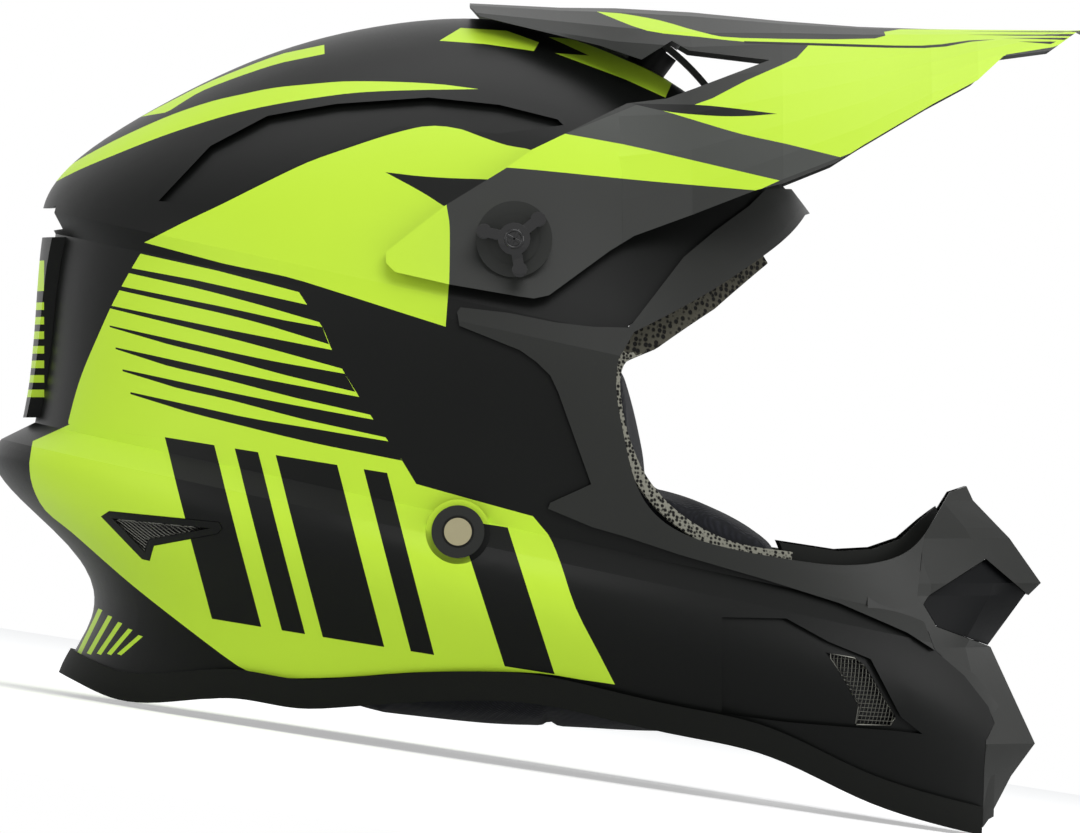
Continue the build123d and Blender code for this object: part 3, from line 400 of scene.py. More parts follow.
FINISHES = {
    # ABS moulded in a grained tool under a matt clear coat: a soft wide highlight, no mirror image
    "matt black ABS": lambda name: moulded(name, chosen("shell"), 1.5, 0.4, 0.5, 0.04, gleam=0.12),
    # fluorescent paint under the same matt coat: even and saturated, deeper where it turns away
    "neon paint": lambda name: moulded(name, chosen("panels"), 1.05, 0.45, 0.5, 0.03),
    # flexible polypropylene, coarser than the shell: grey rather than black in the light
    "charcoal polypropylene": lambda name: moulded(name, chosen("peak"), 1.27, 0.46, 0.45, 0.07, gleam=0.2),
    # grey paint of the peak's stripe, lighter than the bare peak beside it
    "grey paint": lambda name: moulded(name, chosen("stripe"), 1.16, 0.48, 0.45, 0.05, gleam=0.2),
    # satin polypropylene round the port and the mouth: a wide pale sheen on its turned edges
    "satin moulding": lambda name: moulded(name, chosen("mouldings"), 1.33, 0.42, 0.45, 0.06, gleam=0.2),
    # smooth ABS insert between hood and nose: darker than what surrounds it
    "smooth insert": lambda name: moulded(name, linear("#0E0F10"), 1.27, 0.45, 0.6, 0.02, gleam=0.06),
    # extruded rubber of the lower edge: dull, faintly greyed by handling
    "edge rubber": lambda name: moulded(name, linear("#131412"), 1.49, 0.7, 0.35, 0.05, gleam=0.12),
    # piano-black acetal of the thumb screws: sharp highlights on rounded edges
    "gloss acetal": lambda name: moulded(name, linear("#060607"), 1.33, 0.1, 1.0, 0.01, gleam=0.5),
    # coated steel wire: thin lights on the crowns of the weave
    "black wire": lambda name: metal(name, linear("#6E6E68"), 0.38, 0.2),
    # steel rivet with a burnished bronze tone: a warm dull disc
    "burnished rivet": lambda name: metal(name, linear("#A39C7E"), 0.34, 0.15),
    # pressed steel of the rings and eyelets, in satin nickel: bright, with a soft edge
    "nickel steel": lambda name: metal(name, linear("#B9B8B2"), 0.28, 0.2),
    # blackened screw: nearly black, with a metal's tight highlight
    "black screw": lambda name: metal(name, linear("#2A2A2A"), 0.38, 0.2),
    # turned brass of the threaded inserts: yellow, finely marked by the tool
    "turned brass": lambda name: metal(name, linear("#C9A24A"), 0.3, 0.1),
    # expanded polystyrene, dyed black: fused beads, with painted shade in the grooves between them
    "bead foam": lambda name: beaded(name, linear("#1B1B1C"), linear("#0C0C0C"), 2.6),
    # brushed knit over foam: soft, with a light nap, and painted shade between its threads
    "brushed knit": lambda name: woven(name, chosen("lining"), linear("#101115"), 0.8, 0.1),
    # grey air-mesh knit at the port's edge: a light lattice that looks open, its holes darkened with painted
    # shade
    "air mesh": lambda name: netted(name, linear("#8C8B7F"), linear("#131312"), 1.4),
    # the same knit, darker, over the forehead
    "dark air mesh": lambda name: netted(name, linear("#4C4A40"), linear("#0D0D0C"), 1.9),
    # nylon webbing, its weave drawn at 1.2 mm so that it shows, with painted shade between its threads
    "nylon webbing": lambda name: woven(name, chosen("webbing"), linear("#070707"), 1.2, 0.15, 0.7, "UV"),
}


def finish(name):
    """The material of that name, made once."""
    return bpy.data.materials.get(name) or FINISHES[name](name)


def dress(piece, *names):
    """Give a piece its finishes in place of those it had."""
    piece.data.materials.clear()
    for name in names:
        piece.data.materials.append(finish(name))
    return piece


# ---- modelling helpers -----------------------------------
MERGE = 0.002 * MM  # points nearer than this are one
KEPT_NORMALS = "kept_normal"


def only(piece):
    """Make a piece the only selected and active object."""
    if bpy.context.object and bpy.context.object.mode != "OBJECT":
        bpy.ops.object.mode_set(mode="OBJECT")
    bpy.ops.object.select_all(action="DESELECT")
    piece.select_set(True)
    bpy.context.view_layer.objects.active = piece


def settled(piece, name, body, slot, *nodes):
    """Name a piece, hang it on the body it rides and hide the CAD nodes it stands for; slot is not used."""
    piece.name = piece.data.name = name
    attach(piece, body)
    if nodes:
        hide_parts(*nodes)
    return piece


def adopt(name, mesh, body, slot, *nodes):
    """A mesh in its place as a settled piece."""
    piece = bpy.data.objects.new(name, mesh)
    bpy.context.scene.collection.objects.link(piece)
    return settled(piece, name, body, slot, *nodes)


def merged_copy(node, keep_normals=False):
    """A CAD node's shape as a bmesh of its own, its doubles merged, its normals kept in a layer if asked."""
    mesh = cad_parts[node].data
    copy = bmesh.new()
    copy.from_mesh(mesh)
    if keep_normals:
        kept = copy.loops.layers.float_vector.new(KEPT_NORMALS)
        copy.faces.ensure_lookup_table()
        for face in copy.faces:
            for loop, index in zip(face.loops, mesh.polygons[face.index].loop_indices):
                loop[kept] = mesh.corner_normals[index].vector
    bmesh.ops.remove_doubles(copy, verts=copy.verts, dist=MERGE)
    return copy


def as_mesh(shape, name):
    """A bmesh as a mesh of that name; the bmesh is freed."""
    mesh = bpy.data.meshes.new(name)
    shape.to_mesh(mesh)
    shape.free()
    return mesh


def box_middle(points):
    """The middle of the box round some points."""
    return (Vector(map(min, zip(*points))) + Vector(map(max, zip(*points)))) / 2


def restore_normals(mesh):
    """Shade a mesh by the normals kept in its layer."""
    layer = mesh.attributes[KEPT_NORMALS]
    normals = np.empty(len(mesh.loops) * 3, dtype=np.float32)
    layer.data.foreach_get("vector", normals)
    normals = normals.reshape(-1, 3)
    normals /= np.maximum(np.linalg.norm(normals, axis=1, keepdims=True), 1e-9)
    mesh.shade_smooth()
    mesh.normals_split_custom_set(normals.tolist())
    mesh.attributes.remove(mesh.attributes[KEPT_NORMALS])


def smoothed(piece, degrees):
    """Shade a piece smooth, but for edges sharper than an angle."""
    only(piece)
    bpy.ops.object.shade_smooth_by_angle(angle=math.radians(degrees))


def applied(piece, kind, **settings):
    """Add a modifier with its settings and apply it."""
    only(piece)
    modifier = piece.modifiers.new(kind.title(), kind)
    for name, value in settings.items():
        setattr(modifier, name, value)
    bpy.ops.object.modifier_apply(modifier=modifier.name)


def softened(line, step):
    """Points about step mm apart along a line whose corners are eased."""
    for _ in range(3):
        eased = [line[0]]
        for (x0, y0), (x1, y1) in zip(line, line[1:]):
            eased += [(x0 * near + x1 * (1 - near), y0 * near + y1 * (1 - near)) for near in (0.75, 0.25)]
        line = [*eased, line[-1]]
    points = [Vector(line[0])]
    for end in line[1:]:
        end = Vector(end)
        while (end - points[-1]).length > step:
            points.append(points[-1] + (end - points[-1]).normalized() * step)
    return [*points, Vector(line[-1])]


def bevelled(piece, width, degrees, segments=2):
    """Round the edges of a piece that are sharper than an angle."""
    applied(piece, "BEVEL", width=width, segments=segments, limit_method="ANGLE",
            angle_limit=math.radians(degrees))


# ---- paint -----------------------------------------------
SHORTEST_CUT = 0.05 * MM
ROUND_OVER, ROUND_BEND = 6, 0.5  # an outline's runs longer than this, in mm, and less bent are rounded


def inside(point, outline):
    """Whether a side-view point lies within an outline."""
    x, z = point
    within = False
    for (x0, z0), (x1, z1) in zip(outline, outline[1:] + outline[:1]):
        if (z0 > z) != (z1 > z) and x < (x1 - x0) * (z - z0) / (z1 - z0) + x0:
            within = not within
    return within


class Grid:
    """Faces of a bmesh by the cells that they cover in the worn side view."""

    CELL = 6.0

    def __init__(self, faces):
        self.cells = defaultdict(set)
        self.add(faces)

    def covered(self, points):
        """The cells between the lowest and highest of some side-view points."""
        steps = [[int(value // self.CELL) for value in line] for line in zip(*points)]
        (x0, x1), (z0, z1) = [(min(line), max(line)) for line in steps]
        return [(i, j) for i in range(x0, x1 + 1) for j in range(z0, z1 + 1)]

    def add(self, faces):
        for face in faces:
            for cell in self.covered([worn(v.co) for v in face.verts]):
                self.cells[cell].add(face)

    def near(self, points):
        """Faces that may touch the box round some side-view points."""
        found = set()
        for cell in self.covered(points):
            kept = {face for face in self.cells[cell] if face.is_valid}
            self.cells[cell] = kept
            found |= kept
        return found


def cut_outline(shape, grid, outline):
    """Cut the faces of a shape along an outline, straight through from side to side."""
    for a, b in zip(outline, outline[1:] + outline[:1]):
        faces = grid.near([a, b])
        if not faces:
            continue
        start, end = placed(a[0], 0, a[1]), placed(b[0], 0, b[1])
        along = end - start
        if along.length < SHORTEST_CUT:
            continue
        normal = Vector((along.z, 0, -along.x)).normalized()
        geometry = list({v for f in faces for v in f.verts} | {e for f in faces for e in f.edges} | faces)
        result = bmesh.ops.bisect_plane(shape, geom=geometry, dist=MERGE, plane_co=start, plane_no=normal)
        grid.add([g for g in result["geom"] if isinstance(g, bmesh.types.BMFace)])


def rounded(outline, steps=3):
    """An outline with its long gentle curves drawn through more points; its corners stay."""
    count = len(outline)
    points = []
    for k in range(count):
        p0, p1, p2, p3 = (Vector(outline[(k + d) % count]) for d in (-1, 0, 1, 2))
        points.append(tuple(p1))
        bend_in, bend_out = (p1 - p0).angle(p2 - p1, 0), (p2 - p1).angle(p3 - p2, 0)
        if (p2 - p1).length > ROUND_OVER and bend_in < ROUND_BEND and bend_out < ROUND_BEND:
            for s in range(1, steps):
                t = s / steps
                spot = 0.5 * (2 * p1 + (p2 - p0) * t + (2 * p0 - 5 * p1 + 4 * p2 - p3) * t * t
                              + (3 * p1 - p0 - 3 * p2 + p3) * t**3)
                points.append(tuple(spot))
    return points


def painted(node, name, slot, body, finishes, zones, outer):
    """A painted copy of a CAD node: zones are (finish index, outline), the last one that covers wins.

    outer tells from a face's middle and normal whether paint reaches it."""
    shape = merged_copy(node, keep_normals=True)
    grid = Grid([face for face in shape.faces if outer(face.calc_center_median(), face.normal)])
    zones = [(index, rounded(outline)) for index, outline in zones]
    for _, outline in zones:
        cut_outline(shape, grid, outline)
    shape.normal_update()
    boxes = [[(min(line), max(line)) for line in zip(*outline)] for _, outline in zones]
    for face in shape.faces:
        middle = face.calc_center_median()
        if not outer(middle, face.normal):
            continue
        x, z = worn(middle)
        for (index, outline), ((x0, x1), (z0, z1)) in zip(zones, boxes):
            if x0 < x < x1 and z0 < z < z1 and inside((x, z), outline):
                face.material_index = index
    mesh = as_mesh(shape, name)
    piece = adopt(name, mesh, body, slot, node)
    indices = [p.material_index for p in mesh.polygons]
    dress(piece, *finishes)
    mesh.polygons.foreach_set("material_index", indices)
    restore_normals(mesh)
    return piece


def spine_dashes():
    """The outlines of the dashes across the ridge at the back, with a longer one over them."""
    back, front = SPINE_DASHES_X
    heights = [(z, z + SPINE_DASH) for z in SPINE_DASHES_Z] + [SPINE_PATCH]
    return [[(back, low), (front, low), (front, high), (back, high)] for low, high in heights]


def slanted_bars():
    """The outlines of the generic bars on the lower field."""
    bars = []
    for foot, width, height in LOWER_BARS:
        low = LOWER_BAR_FOOT - (foot - LOWER_BAR_MIDDLE) * LOWER_BAR_DROP
        end, fall = foot + width, width * LOWER_BAR_DROP
        bars.append([(foot, low), (end, low - fall), (end - LOWER_BAR_LEAN, low + height - fall),
                     (foot - LOWER_BAR_LEAN, low + height)])
    return bars


def rear_lines():
    """The outlines of the thin lines at the foot of the back."""
    lines = []
    for k in range(REAR_LINES):
        ahead = k * REAR_LINE_PITCH
        foot, top = REAR_LINE_FOOT[0] + ahead, REAR_LINE_TOP[0] + ahead
        high = REAR_LINE_TOP[1] - k * REAR_LINE_FALL
        lines.append([(foot, REAR_LINE_FOOT[1]),
                      (foot + REAR_LINE_WIDTH, REAR_LINE_FOOT[1] - REAR_LINE_SLOPE),
                      (top + REAR_LINE_WIDTH, high - REAR_LINE_SLOPE), (top, high)])
    return lines


# ---- wire grilles ----------------------------------------
GRILLE_REACH = 1.8  # how far past the plate the net starts, as a share of the plate


def grille(node, name, pitch, wire):
    """A crossed-wire grille in place of a CAD plate, its wires pitch apart, ending at the plate's edge."""
    shape = merged_copy(node)
    plate = BVHTree.FromBMesh(shape)
    spots = np.array([tuple(v.co) for v in shape.verts])
    shape.free()
    centre = spots.mean(axis=0)
    axes = np.linalg.eigh(np.cov((spots - centre).T))[1]
    reach = float(np.abs(spots - centre).max()) * GRILLE_REACH
    centre = Vector(centre)
    normal, short, long = (Vector(axes[:, k]) for k in range(3))
    across, along = (long + short).normalized(), (long - short).normalized()
    count = int(2 * reach / pitch)
    bpy.ops.mesh.primitive_grid_add(x_subdivisions=count, y_subdivisions=count, size=2 * reach)
    piece = bpy.context.object
    net = bmesh.new()
    net.from_mesh(piece.data)
    held = set()
    for vert in net.verts:
        spot = centre + across * vert.co.x + along * vert.co.y
        front = plate.ray_cast(spot + normal * reach, -normal)[0]
        back = plate.ray_cast(spot - normal * reach, normal)[0]
        if front and back:
            held.add(vert)
            vert.co = (front + back) / 2
        else:
            vert.co = spot
    rim = {edge.other_vert(vert) for vert in held for edge in vert.link_edges} - held
    for vert in rim:
        vert.co = plate.find_nearest(vert.co)[0]
    bmesh.ops.delete(net, geom=[v for v in net.verts if v not in held and v not in rim], context="VERTS")
    net.to_mesh(piece.data)
    net.free()
    applied(piece, "WIREFRAME", thickness=wire, use_even_offset=False, use_boundary=True)
    dress(piece, "black wire")
    return settled(piece, name, SHELL_BODY, "mesh", node)


# ---- padding ---------------------------------------------
VOXEL = 5 * MM
HEAD = (-28, 0, 150)  # the middle of the space for the head, worn
PRESSURE, STEPS_OF_SWELLING = 4.0, 20
MOST_SWELL = 5.0  # no point of a pad moves more than this in the simulation, in mm
SNUG = 0.1  # how far a pad may stand out on the sides that face away from the head, in mm
FACING_HEAD = 0.35  # the least cosine at which a face counts as facing the head
SEAM_WIDTH = 1.8  # half width of a sewn channel, in mm
# Where the sewn channels run: each takes a worn place and gives its distance from the channel.
CHEEK_SEAMS = (lambda p: p[0] + 22 + (p[2] - 110) * 0.35, lambda p: p[2] - 92)
CROWN_SEAMS = (lambda p: abs(p[1]) - 26, lambda p: abs(p[1]) - 60, lambda p: p[0] + 40 + (p[2] - 200) * 0.2)
NECK_SEAMS = (lambda p: abs(p[1]) - 45,)


def swollen(piece):
    """Swell a closed form from within as its foam does."""
    still = [v.co.copy() for v in piece.data.vertices]
    only(piece)
    cloth = piece.modifiers.new("Cloth", "CLOTH")
    cloth.settings.use_pressure = True
    cloth.settings.uniform_pressure_force = PRESSURE
    cloth.settings.effector_weights.gravity = 0.0
    cloth.settings.quality = 2
    for step in range(1, STEPS_OF_SWELLING + 1):
        bpy.context.scene.frame_set(step)
    bpy.ops.object.modifier_apply(modifier=cloth.name)
    bpy.context.scene.frame_set(1)
    for vert, old in zip(piece.data.vertices, still):
        move = vert.co - old
        if move.length > MOST_SWELL * MM:
            vert.co = old + move.normalized() * MOST_SWELL * MM


def pad(node, name, seams, inset=1.4):
    """A fabric-covered pad from its CAD node, swollen from a form inset mm smaller, with sewn channels.

    seams are functions of a worn place that give its distance from a channel, in mm."""
    sizes = bpy.context.scene.helmet_sizes
    shape = merged_copy(node)
    solid = BVHTree.FromBMesh(shape)
    piece = adopt(name, as_mesh(shape, name), SHELL_BODY, "lining", node)
    applied(piece, "REMESH", mode="VOXEL", voxel_size=VOXEL, use_smooth_shade=True)
    for vert in piece.data.vertices:
        vert.co = vert.co - vert.normal * inset * MM
    swollen(piece)
    head = placed(*HEAD)
    for vert in piece.data.vertices:
        near, normal = solid.find_nearest(vert.co)[:2]
        out = (vert.co - near).dot(normal)
        free = sizes.swell if normal.dot((head - near).normalized()) > FACING_HEAD else SNUG * MM
        if out > free:
            vert.co = near + normal * free
    applied(piece, "SUBSURF", levels=1, render_levels=1)
    for vert in piece.data.vertices:
        spot = worn(vert.co)
        place = (spot[0], vert.co.y / MM, spot[1])
        depth = max(math.exp(-((seam(place) / SEAM_WIDTH) ** 2)) for seam in seams)
        vert.co = vert.co - vert.normal * depth * sizes.groove
    dress(piece, "brushed knit")
    smoothed(piece, 60)
    return piece


# The edge of the eye port, seen from the side as it is worn, and a place within the port.
PORT_EDGE = [
    (77, 197.5), (60, 187), (45, 177), (33, 168.5), (27, 163), (24.8, 156), (26.6, 142.1), (30, 131),
    (34.5, 121.4), (43.1, 111.1), (55.2, 102.5), (69, 97.3), (86, 95.2),
]
PORT_MIDDLE = (85, 140)
PORT_BAND, BROW_BAND = (-2.5, 1.9), (-7, 5.5)  # from behind the rim to within the port, in mm
BAND_WALL, BAND_EDGE = 1.2, 0.5  # its thickness and the rounding of its edges
BROW_FROM, BROW_BLEND, BROW_TAPER = 163, 8, 12  # where the brow's band begins, and how it widens and tapers
BAND_SINK = (6.5, 9)  # how deep its outer and inner edges lie behind the moulding's face
BAND_PROBE = 4  # how far behind the rim that face is felt for
BAND_STEPS = (0, 0.33, 0.67, 1)


def port_band(side):
    """The band of air mesh that edges the lining just within the port."""
    sign = -1 if side == "right" else 1
    shape = merged_copy("port_surround")
    rim = BVHTree.FromBMesh(shape)
    shape.free()
    line = softened(PORT_EDGE, 2.0)
    cells = []
    depth = None
    for k, spot in enumerate(line):
        ahead = (line[min(k + 1, len(line) - 1)] - line[max(k - 1, 0)]).normalized()
        inward = Vector((-ahead.y, ahead.x))
        if inward.dot(Vector(PORT_MIDDLE) - spot) < 0:
            inward = -inward
        probe = spot - inward * BAND_PROBE
        hit = rim.ray_cast(placed(probe.x, sign * 200, probe.y), Vector((0, -sign, 0)))[0]
        face = abs(hit.y) / MM if hit else depth
        depth = face if depth is None else 0.7 * depth + 0.3 * face
        brow = max(0.0, min(1.0, (spot.y - BROW_FROM) / BROW_BLEND, k / BROW_TAPER))
        back, front = (low + (high - low) * brow for low, high in zip(PORT_BAND, BROW_BAND))
        for t in BAND_STEPS:
            sink = BAND_SINK[0] + (BAND_SINK[1] - BAND_SINK[0]) * t
            cells.append((spot + inward * (back + (front - back) * t), depth - sink))
    bpy.ops.mesh.primitive_grid_add(x_subdivisions=len(BAND_STEPS) - 1, y_subdivisions=len(line) - 1, size=1)
    piece = bpy.context.object
    for vert, (spot, y) in zip(piece.data.vertices, cells):
        vert.co = placed(spot.x, sign * y, spot.y)
    applied(piece, "SOLIDIFY", thickness=BAND_WALL * MM, offset=0.0)
    bevelled(piece, BAND_EDGE * MM, 50)
    only(piece)
    bpy.ops.object.mode_set(mode="EDIT")
    bpy.ops.mesh.select_all(action="SELECT")
    bpy.ops.mesh.normals_make_consistent(inside=False)
    bpy.ops.object.mode_set(mode="OBJECT")
    dress(piece, "air mesh", "dark air mesh")
    for face in piece.data.polygons:
        face.material_index = int(worn(face.center)[1] > BROW_FROM + 2)
    smoothed(piece, 40)
    return settled(piece, "port_band_" + side, SHELL_BODY, "lining")


# ---- webbing ---------------------------------------------
STRAP_X, STRAP_WIDTH, STRAP_WALL = -27.9, 24.0, 1.53
STRAP_STEP, STRAP_EDGE = 1.5, 0.35
RIB, SELVEDGE = 0.14, -0.25  # how far the ribs rise and the edges sink
STRAP_RUN = [(111, 112), (111, 92), (107, 80), (92, 67), (60, 60)]
STRAP_LINES = {
    "right": [*STRAP_RUN, (44, 54.8), (34, 54.2), (30, 57), (30, 64), (34, 67.6), (48, 67.8)],
    "left": [*STRAP_RUN, (44, 56.4), (12, 54.4), (-18, 54.2), (-26, 54.6), (-28, 57.8), (-26, 61), (-14, 61),
             (30, 61)],
}


def webbing(side):
    """A strap of ribbed webbing along its line, its UV in metres across and along."""
    sign = -1 if side == "right" else 1
    line = softened(STRAP_LINES[side], STRAP_STEP)
    ribs = bpy.context.scene.helmet_sizes.ribs
    bpy.ops.mesh.primitive_grid_add(x_subdivisions=ribs, y_subdivisions=len(line) - 1, size=1)
    piece = bpy.context.object
    mesh = piece.data
    for corner in mesh.uv_layers.active.data:
        corner.uv = (corner.uv[0] * STRAP_WIDTH * MM, corner.uv[1] * len(line) * STRAP_STEP * MM)
    for index, vert in enumerate(mesh.vertices):
        row, column = divmod(index, ribs + 1)
        (y, z), share = line[row], column / ribs - 0.5
        ahead = (line[min(row + 1, len(line) - 1)] - line[max(row - 1, 0)]).normalized()
        rise = RIB * (-1) ** column if 0 < column < ribs else SELVEDGE
        vert.co = placed(STRAP_X + share * STRAP_WIDTH, sign * (y - ahead.y * rise), z + ahead.x * rise)
    applied(piece, "SOLIDIFY", thickness=STRAP_WALL * MM, offset=0.0)
    bevelled(piece, STRAP_EDGE * MM, 60)
    dress(piece, "nylon webbing")
    smoothed(piece, 40)
    return settled(piece, "webbing_strap_" + side, SHELL_BODY, "webbing", "strap_" + side)


# ---- operators -------------------------------------------
class HELMET_OT_shell(bpy.types.Operator):
    """Paint the shell with its neon panels and speed lines"""

    bl_idname = "helmet.shell"
    bl_label = "Painted shell"

    MIDDLE = (-30, 0, 140)  # faces that look away from here, worn, are the outside

    def execute(self, context):
        black, neon = 0, 1
        zones = [(neon, FIELD), (black, FIELD_NOTCH), (neon, SPEED_FIELD), (neon, LOWER_FIELD)]
        zones += [(black, line) for line in SPEED_LINES]
        zones += [(black, bar) for bar in slanted_bars()]
        zones += [(neon, line) for line in [*rear_lines(), *spine_dashes()]]
        zones += [(neon, CROWN_STRIPE), (neon, TOP_STRIPE), (neon, FRONT_STRIPE), (neon, REAR_STRIPE)]
        middle = placed(*self.MIDDLE)

        def outer(point, normal):
            return normal.dot(point - middle) > 0

        painted("shell", "painted_shell", "shell_plastic", SHELL_BODY, ("matt black ABS", "neon paint"),
                zones, outer)
        return {"FINISHED"}


class HELMET_OT_peak(bpy.types.Operator):
    """Paint the peak with its neon wings and stripes"""

    bl_idname = "helmet.peak"
    bl_label = "Painted peak"

    BELOW = (60, 0, 235)  # a point under the peak, worn
    FACING_OUT = 0.3  # the least cosine at which a face counts as the outside

    def execute(self, context):
        neon, black, grey = 1, 2, 3
        zones = [(grey, PEAK_STRIPE), (neon, PEAK_FIELD), (neon, EAR_STRIPE), (neon, EAR_TIP)]
        zones += [(black, mark) for mark in PEAK_MARKS]
        below = placed(*self.BELOW).z

        def outer(point, normal):
            away = Vector((0, point.y, max(point.z - below, 0.0)))
            return normal.dot(away) > self.FACING_OUT * away.length

        painted("peak", "painted_peak", "peak_plastic", PEAK_BODY,
                ("charcoal polypropylene", "neon paint", "matt black ABS", "grey paint"), zones, outer)
        return {"FINISHED"}


class HELMET_OT_mouldings(bpy.types.Operator):
    """Give the mouldings, fixings and foam their finishes"""

    bl_idname = "helmet.mouldings"
    bl_label = "Mouldings and fixings"

    KINDS = {
        "satin moulding": ("port_surround", "mouthpiece", "rivet_grommet"),
        "smooth insert": ("mouth_insert",),
        "edge rubber": ("edge_trim", "breath_guard"),
        "bead foam": ("liner", "chin_foam"),
        "charcoal polypropylene": ("peak_tongue", "thumb_washer"),
        "matt black ABS": ("rear_vent_bezel",),
        "gloss acetal": ("thumb_screw",),
        "black screw": ("centre_screw",),
        "turned brass": ("centre_insert", "pivot_insert"),
        "burnished rivet": ("strap_rivet",),
        "nickel steel": ("rivet_eyelet", "d_ring_inner", "d_ring_outer"),
        "nylon webbing": ("strap",),
        "black wire": ("rear_slot_mesh", "rear_vent_mesh", "chin_vent_mesh", "mouth_vent_mesh"),
        "brushed knit": ("cheek_pad", "crown_pad", "neck_roll"),
    }

    def execute(self, context):
        for finish_name, kinds in self.KINDS.items():
            for name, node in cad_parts.items():
                if name.removesuffix("_right").removesuffix("_left") in kinds:
                    dress(node, finish_name)
        return {"FINISHED"}


class HELMET_OT_knobs(bpy.types.Operator):
    """Round the edges of the thumb screws and raise the ring and bars on their hubs"""

    bl_idname = "helmet.knobs"
    bl_label = "Thumb screws"

    RING, RING_WIRE = 2.9, 0.55
    BAR = (7.2, 0.9, 1.1)
    BAR_TURNS = (20, 110)
    MARK_EDGE = 0.25

    def knob(self, side, body):
        """A thumb screw with its edges rounded, and its solid to feel for the hub's face."""
        node = "thumb_screw_" + side
        shape = merged_copy(node)
        solid = BVHTree.FromBMesh(shape)
        knob = adopt("knob_" + side, as_mesh(shape, node), body, "gloss_knob", node)
        bevelled(knob, bpy.context.scene.helmet_sizes.knob_edge, 38, segments=3)
        dress(knob, "gloss acetal")
        smoothed(knob, 40)
        return solid

    def mark(self, side, body, face):
        """A ring with two crossed bars, half sunk in the hub's face."""
        bpy.ops.mesh.primitive_torus_add(major_segments=40, minor_segments=12, major_radius=self.RING * MM,
                                         minor_radius=self.RING_WIRE * MM, location=face,
                                         rotation=(math.radians(90), 0, 0))
        ring = bpy.context.object
        bars = []
        for turn in self.BAR_TURNS:
            bpy.ops.mesh.primitive_cube_add(size=1, location=face, rotation=(0, math.radians(turn), 0))
            bars.append(bpy.context.object)
            bars[-1].scale = [length * MM for length in self.BAR]
        only(ring)
        for bar in bars:
            bar.select_set(True)
        bpy.ops.object.join()
        bpy.ops.object.transform_apply(location=True, rotation=True, scale=True)
        bevelled(ring, self.MARK_EDGE * MM, 60)
        dress(ring, "gloss acetal")
        smoothed(ring, 40)
        settled(ring, "knob_mark_" + side, body, "gloss_knob")

    def execute(self, context):
        for side in SIDES:
            body = "thumb_screw_" + side + "_body"
            solid = self.knob(side, body)
            away = -1 if side == "right" else 1
            hub = box_middle([v.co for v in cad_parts["pivot_insert_" + side].data.vertices])
            face = solid.ray_cast(Vector((hub.x, away * 0.2, hub.z)), Vector((0, -away, 0)))[0]
            if face is None:
                raise RuntimeError("no hub under the thumb screw's axis")
            self.mark(side, body, face)
        return {"FINISHED"}


class HELMET_OT_grilles(bpy.types.Operator):
    """Weave the wire grilles of the vents"""

    bl_idname = "helmet.grilles"
    bl_label = "Vent grilles"

    def execute(self, context):
        sizes = context.scene.helmet_sizes
        for side in SIDES:
            grille("rear_vent_mesh_" + side, "rear_grille_" + side, sizes.side_pitch, sizes.side_wire)
            grille("chin_vent_mesh_" + side, "chin_grille_" + side, sizes.side_pitch, sizes.side_wire)
        grille("rear_slot_mesh", "rear_slot_grille", sizes.wide_pitch, sizes.wide_wire)
        grille("mouth_vent_mesh", "mouth_grille", sizes.wide_pitch, sizes.wide_wire)
        return {"FINISHED"}


class HELMET_OT_pads(bpy.types.Operator):
    """Swell the comfort lining, the cheek pads and the neck roll"""

    bl_idname = "helmet.pads"
    bl_label = "Pads"

    def execute(self, context):
        for side in SIDES:
            pad("cheek_pad_" + side, "cheek_cushion_" + side, CHEEK_SEAMS)
            port_band(side)
        pad("crown_pad", "crown_cushion", CROWN_SEAMS, inset=1.0)
        pad("neck_roll", "neck_cushion", NECK_SEAMS)
        return {"FINISHED"}


class HELMET_OT_straps(bpy.types.Operator):
    """Lay the two webbing straps"""

    bl_idname = "helmet.straps"
    bl_label = "Straps"

    def execute(self, context):
        for side in SIDES:
            webbing(side)
        return {"FINISHED"}


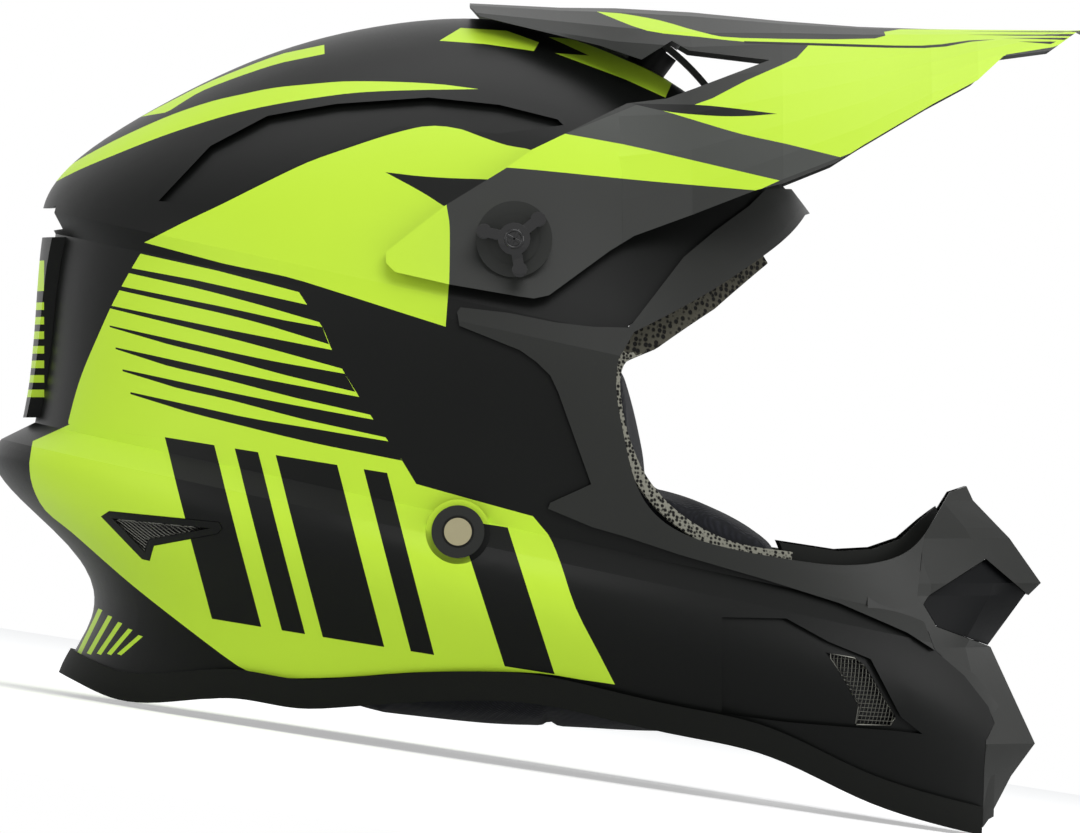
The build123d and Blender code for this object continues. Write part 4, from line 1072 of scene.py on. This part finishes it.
class HELMET_OT_stage(bpy.types.Operator):
    """Set the floor, the lights and the camera"""

    bl_idname = "helmet.stage"
    bl_label = "Stage"

    FRAME_WIDTH = 372.6  # what the picture spans at the helmet, in mm
    LENS, SENSOR = 800.0, 36.0
    AIM = (0, 0, 143.35)
    LIT = (0, 0, 0.13)  # where the lamps point, in m
    FLOOR_RADIUS, FLOOR_DROP = 1.6, 0.0006  # in m; the drop keeps it clear of the trim's underside
    FLOOR_GLOW = 0.45  # how much of its own light the floor shows the camera
    LAMPS = {"key": ((0.35, -1.5, 1.5), (1.4, 0.9)), "left": ((-1.5, -1.0, 0.55), (0.9, 1.2)),
             "top": ((-0.1, 0.3, 1.7), (1.6, 1.0)), "front": ((1.6, -0.3, 0.5), (0.9, 1.0))}

    def floor(self):
        """A pale floor that stays white where nothing shades it."""
        bpy.ops.mesh.primitive_circle_add(vertices=96, radius=self.FLOOR_RADIUS, fill_type="NGON",
                                          location=(0, 0, -self.FLOOR_DROP))
        piece = bpy.context.object
        piece.name = "floor"
        piece.data.transform(piece.matrix_world)
        piece.location = (0, 0, 0)
        material, tree, shader, place = blank("pale floor")
        speck = noise(tree, place, 220.0, 2.0)
        seen = (add(tree, "ShaderNodeLightPath"), "Is Camera Ray")
        feed(tree, shader, [
            ("Base Color", blend(tree, speck, linear("#F4F4F3"), linear("#FAFAF9"))),
            ("Roughness", 0.9),
            ("Specular IOR Level", 0.0),
            ("Emission Strength", combined(tree, "MULTIPLY", seen, self.FLOOR_GLOW)),
            ("Emission Color", WHITE),
        ])
        piece.data.materials.append(material)

    def lamp(self, name, place, size, power):
        """A soft rectangular light that faces the helmet; power is in watts."""
        data = bpy.data.lights.new(name, "AREA")
        data.shape, data.size, data.size_y, data.energy = "RECTANGLE", size[0], size[1], power
        lamp = bpy.data.objects.new(name, data)
        lamp.location = place
        lamp.rotation_euler = (Vector(place) - Vector(self.LIT)).to_track_quat("Z", "Y").to_euler()
        bpy.context.scene.collection.objects.link(lamp)

    def world(self, level):
        """An even pale surround of that strength, white to the eye and in reflections."""
        world = bpy.data.worlds.new("pale surround")
        bpy.context.scene.world = world
        world.use_nodes = True
        tree = world.node_tree
        tree.nodes.clear()
        path = add(tree, "ShaderNodeLightPath")
        seen = combined(tree, "MAXIMUM", (path, "Is Camera Ray"), (path, "Is Transmission Ray"))
        seen = combined(tree, "MAXIMUM", seen, (path, "Is Glossy Ray"))
        shown = add(tree, "ShaderNodeBackground", [("Color", WHITE), ("Strength", 1.0)])
        light = add(tree, "ShaderNodeBackground", [("Color", linear("#F2F5FA")), ("Strength", level)])
        mix = add(tree, "ShaderNodeMixShader",
                  [(0, seen), (1, (light, "Background")), (2, (shown, "Background"))])
        add(tree, "ShaderNodeOutputWorld", [("Surface", (mix, "Shader"))])

    def camera(self):
        """A long lens square to the helmet's right side, rolled so that the helmet looks as it is worn."""
        data = bpy.data.cameras.new("side view")
        data.lens, data.sensor_width = self.LENS, self.SENSOR
        camera = bpy.data.objects.new("side view", data)
        bpy.context.scene.collection.objects.link(camera)
        distance = self.FRAME_WIDTH * MM * self.LENS / self.SENSOR
        camera.location = placed(*self.AIM) - Vector((0, distance, 0))
        camera.rotation_euler = (math.radians(90), -STAND_TILT, 0)
        data.clip_start, data.clip_end = 0.1, 100
        bpy.context.scene.camera = camera

    def execute(self, context):
        lights = context.scene.helmet_lights
        self.floor()
        self.world(lights.surround)
        for name, (place, size) in self.LAMPS.items():
            self.lamp(name + " softbox", place, size, getattr(lights, name))
        self.camera()
        context.scene.view_settings.view_transform = "Standard"
        return {"FINISHED"}


class HELMET_PT_panel(bpy.types.Panel):
    """The helmet's settings, and its pieces in the order in which they are made"""

    bl_idname = "HELMET_PT_panel"
    bl_label = "Helmet"
    bl_space_type = "VIEW_3D"
    bl_region_type = "UI"
    bl_category = "Helmet"

    def draw(self, context):
        for attribute, group in GROUPS.items():
            box = self.layout.box()
            for name in group.__annotations__:
                box.prop(getattr(context.scene, attribute), name)
        for step in STEPS:
            self.layout.operator(step.bl_idname)


STEPS = (HELMET_OT_stage, HELMET_OT_shell, HELMET_OT_peak, HELMET_OT_mouldings, HELMET_OT_knobs,
         HELMET_OT_grilles, HELMET_OT_pads, HELMET_OT_straps)
GROUPS = {"helmet_colours": HelmetColours, "helmet_sizes": HelmetSizes, "helmet_lights": HelmetLights}
CLASSES = (*GROUPS.values(), *STEPS, HELMET_PT_panel)


def register():
    """Register the classes and hang the settings on the scene."""
    for kind in CLASSES:
        bpy.utils.register_class(kind)
    for name, group in GROUPS.items():
        setattr(bpy.types.Scene, name, PointerProperty(type=group))


def unregister():
    """Take the settings and the classes away again."""
    for name in GROUPS:
        delattr(bpy.types.Scene, name)
    for kind in reversed(CLASSES):
        bpy.utils.unregister_class(kind)


def main():
    """Build the helmet."""
    register()
    bpy.ops.helmet.stage()
    bpy.ops.helmet.shell()
    bpy.ops.helmet.peak()
    bpy.ops.helmet.mouldings()
    bpy.ops.helmet.knobs()
    bpy.ops.helmet.grilles()
    bpy.ops.helmet.pads()
    bpy.ops.helmet.straps()


if __name__ == "__main__":
    main()
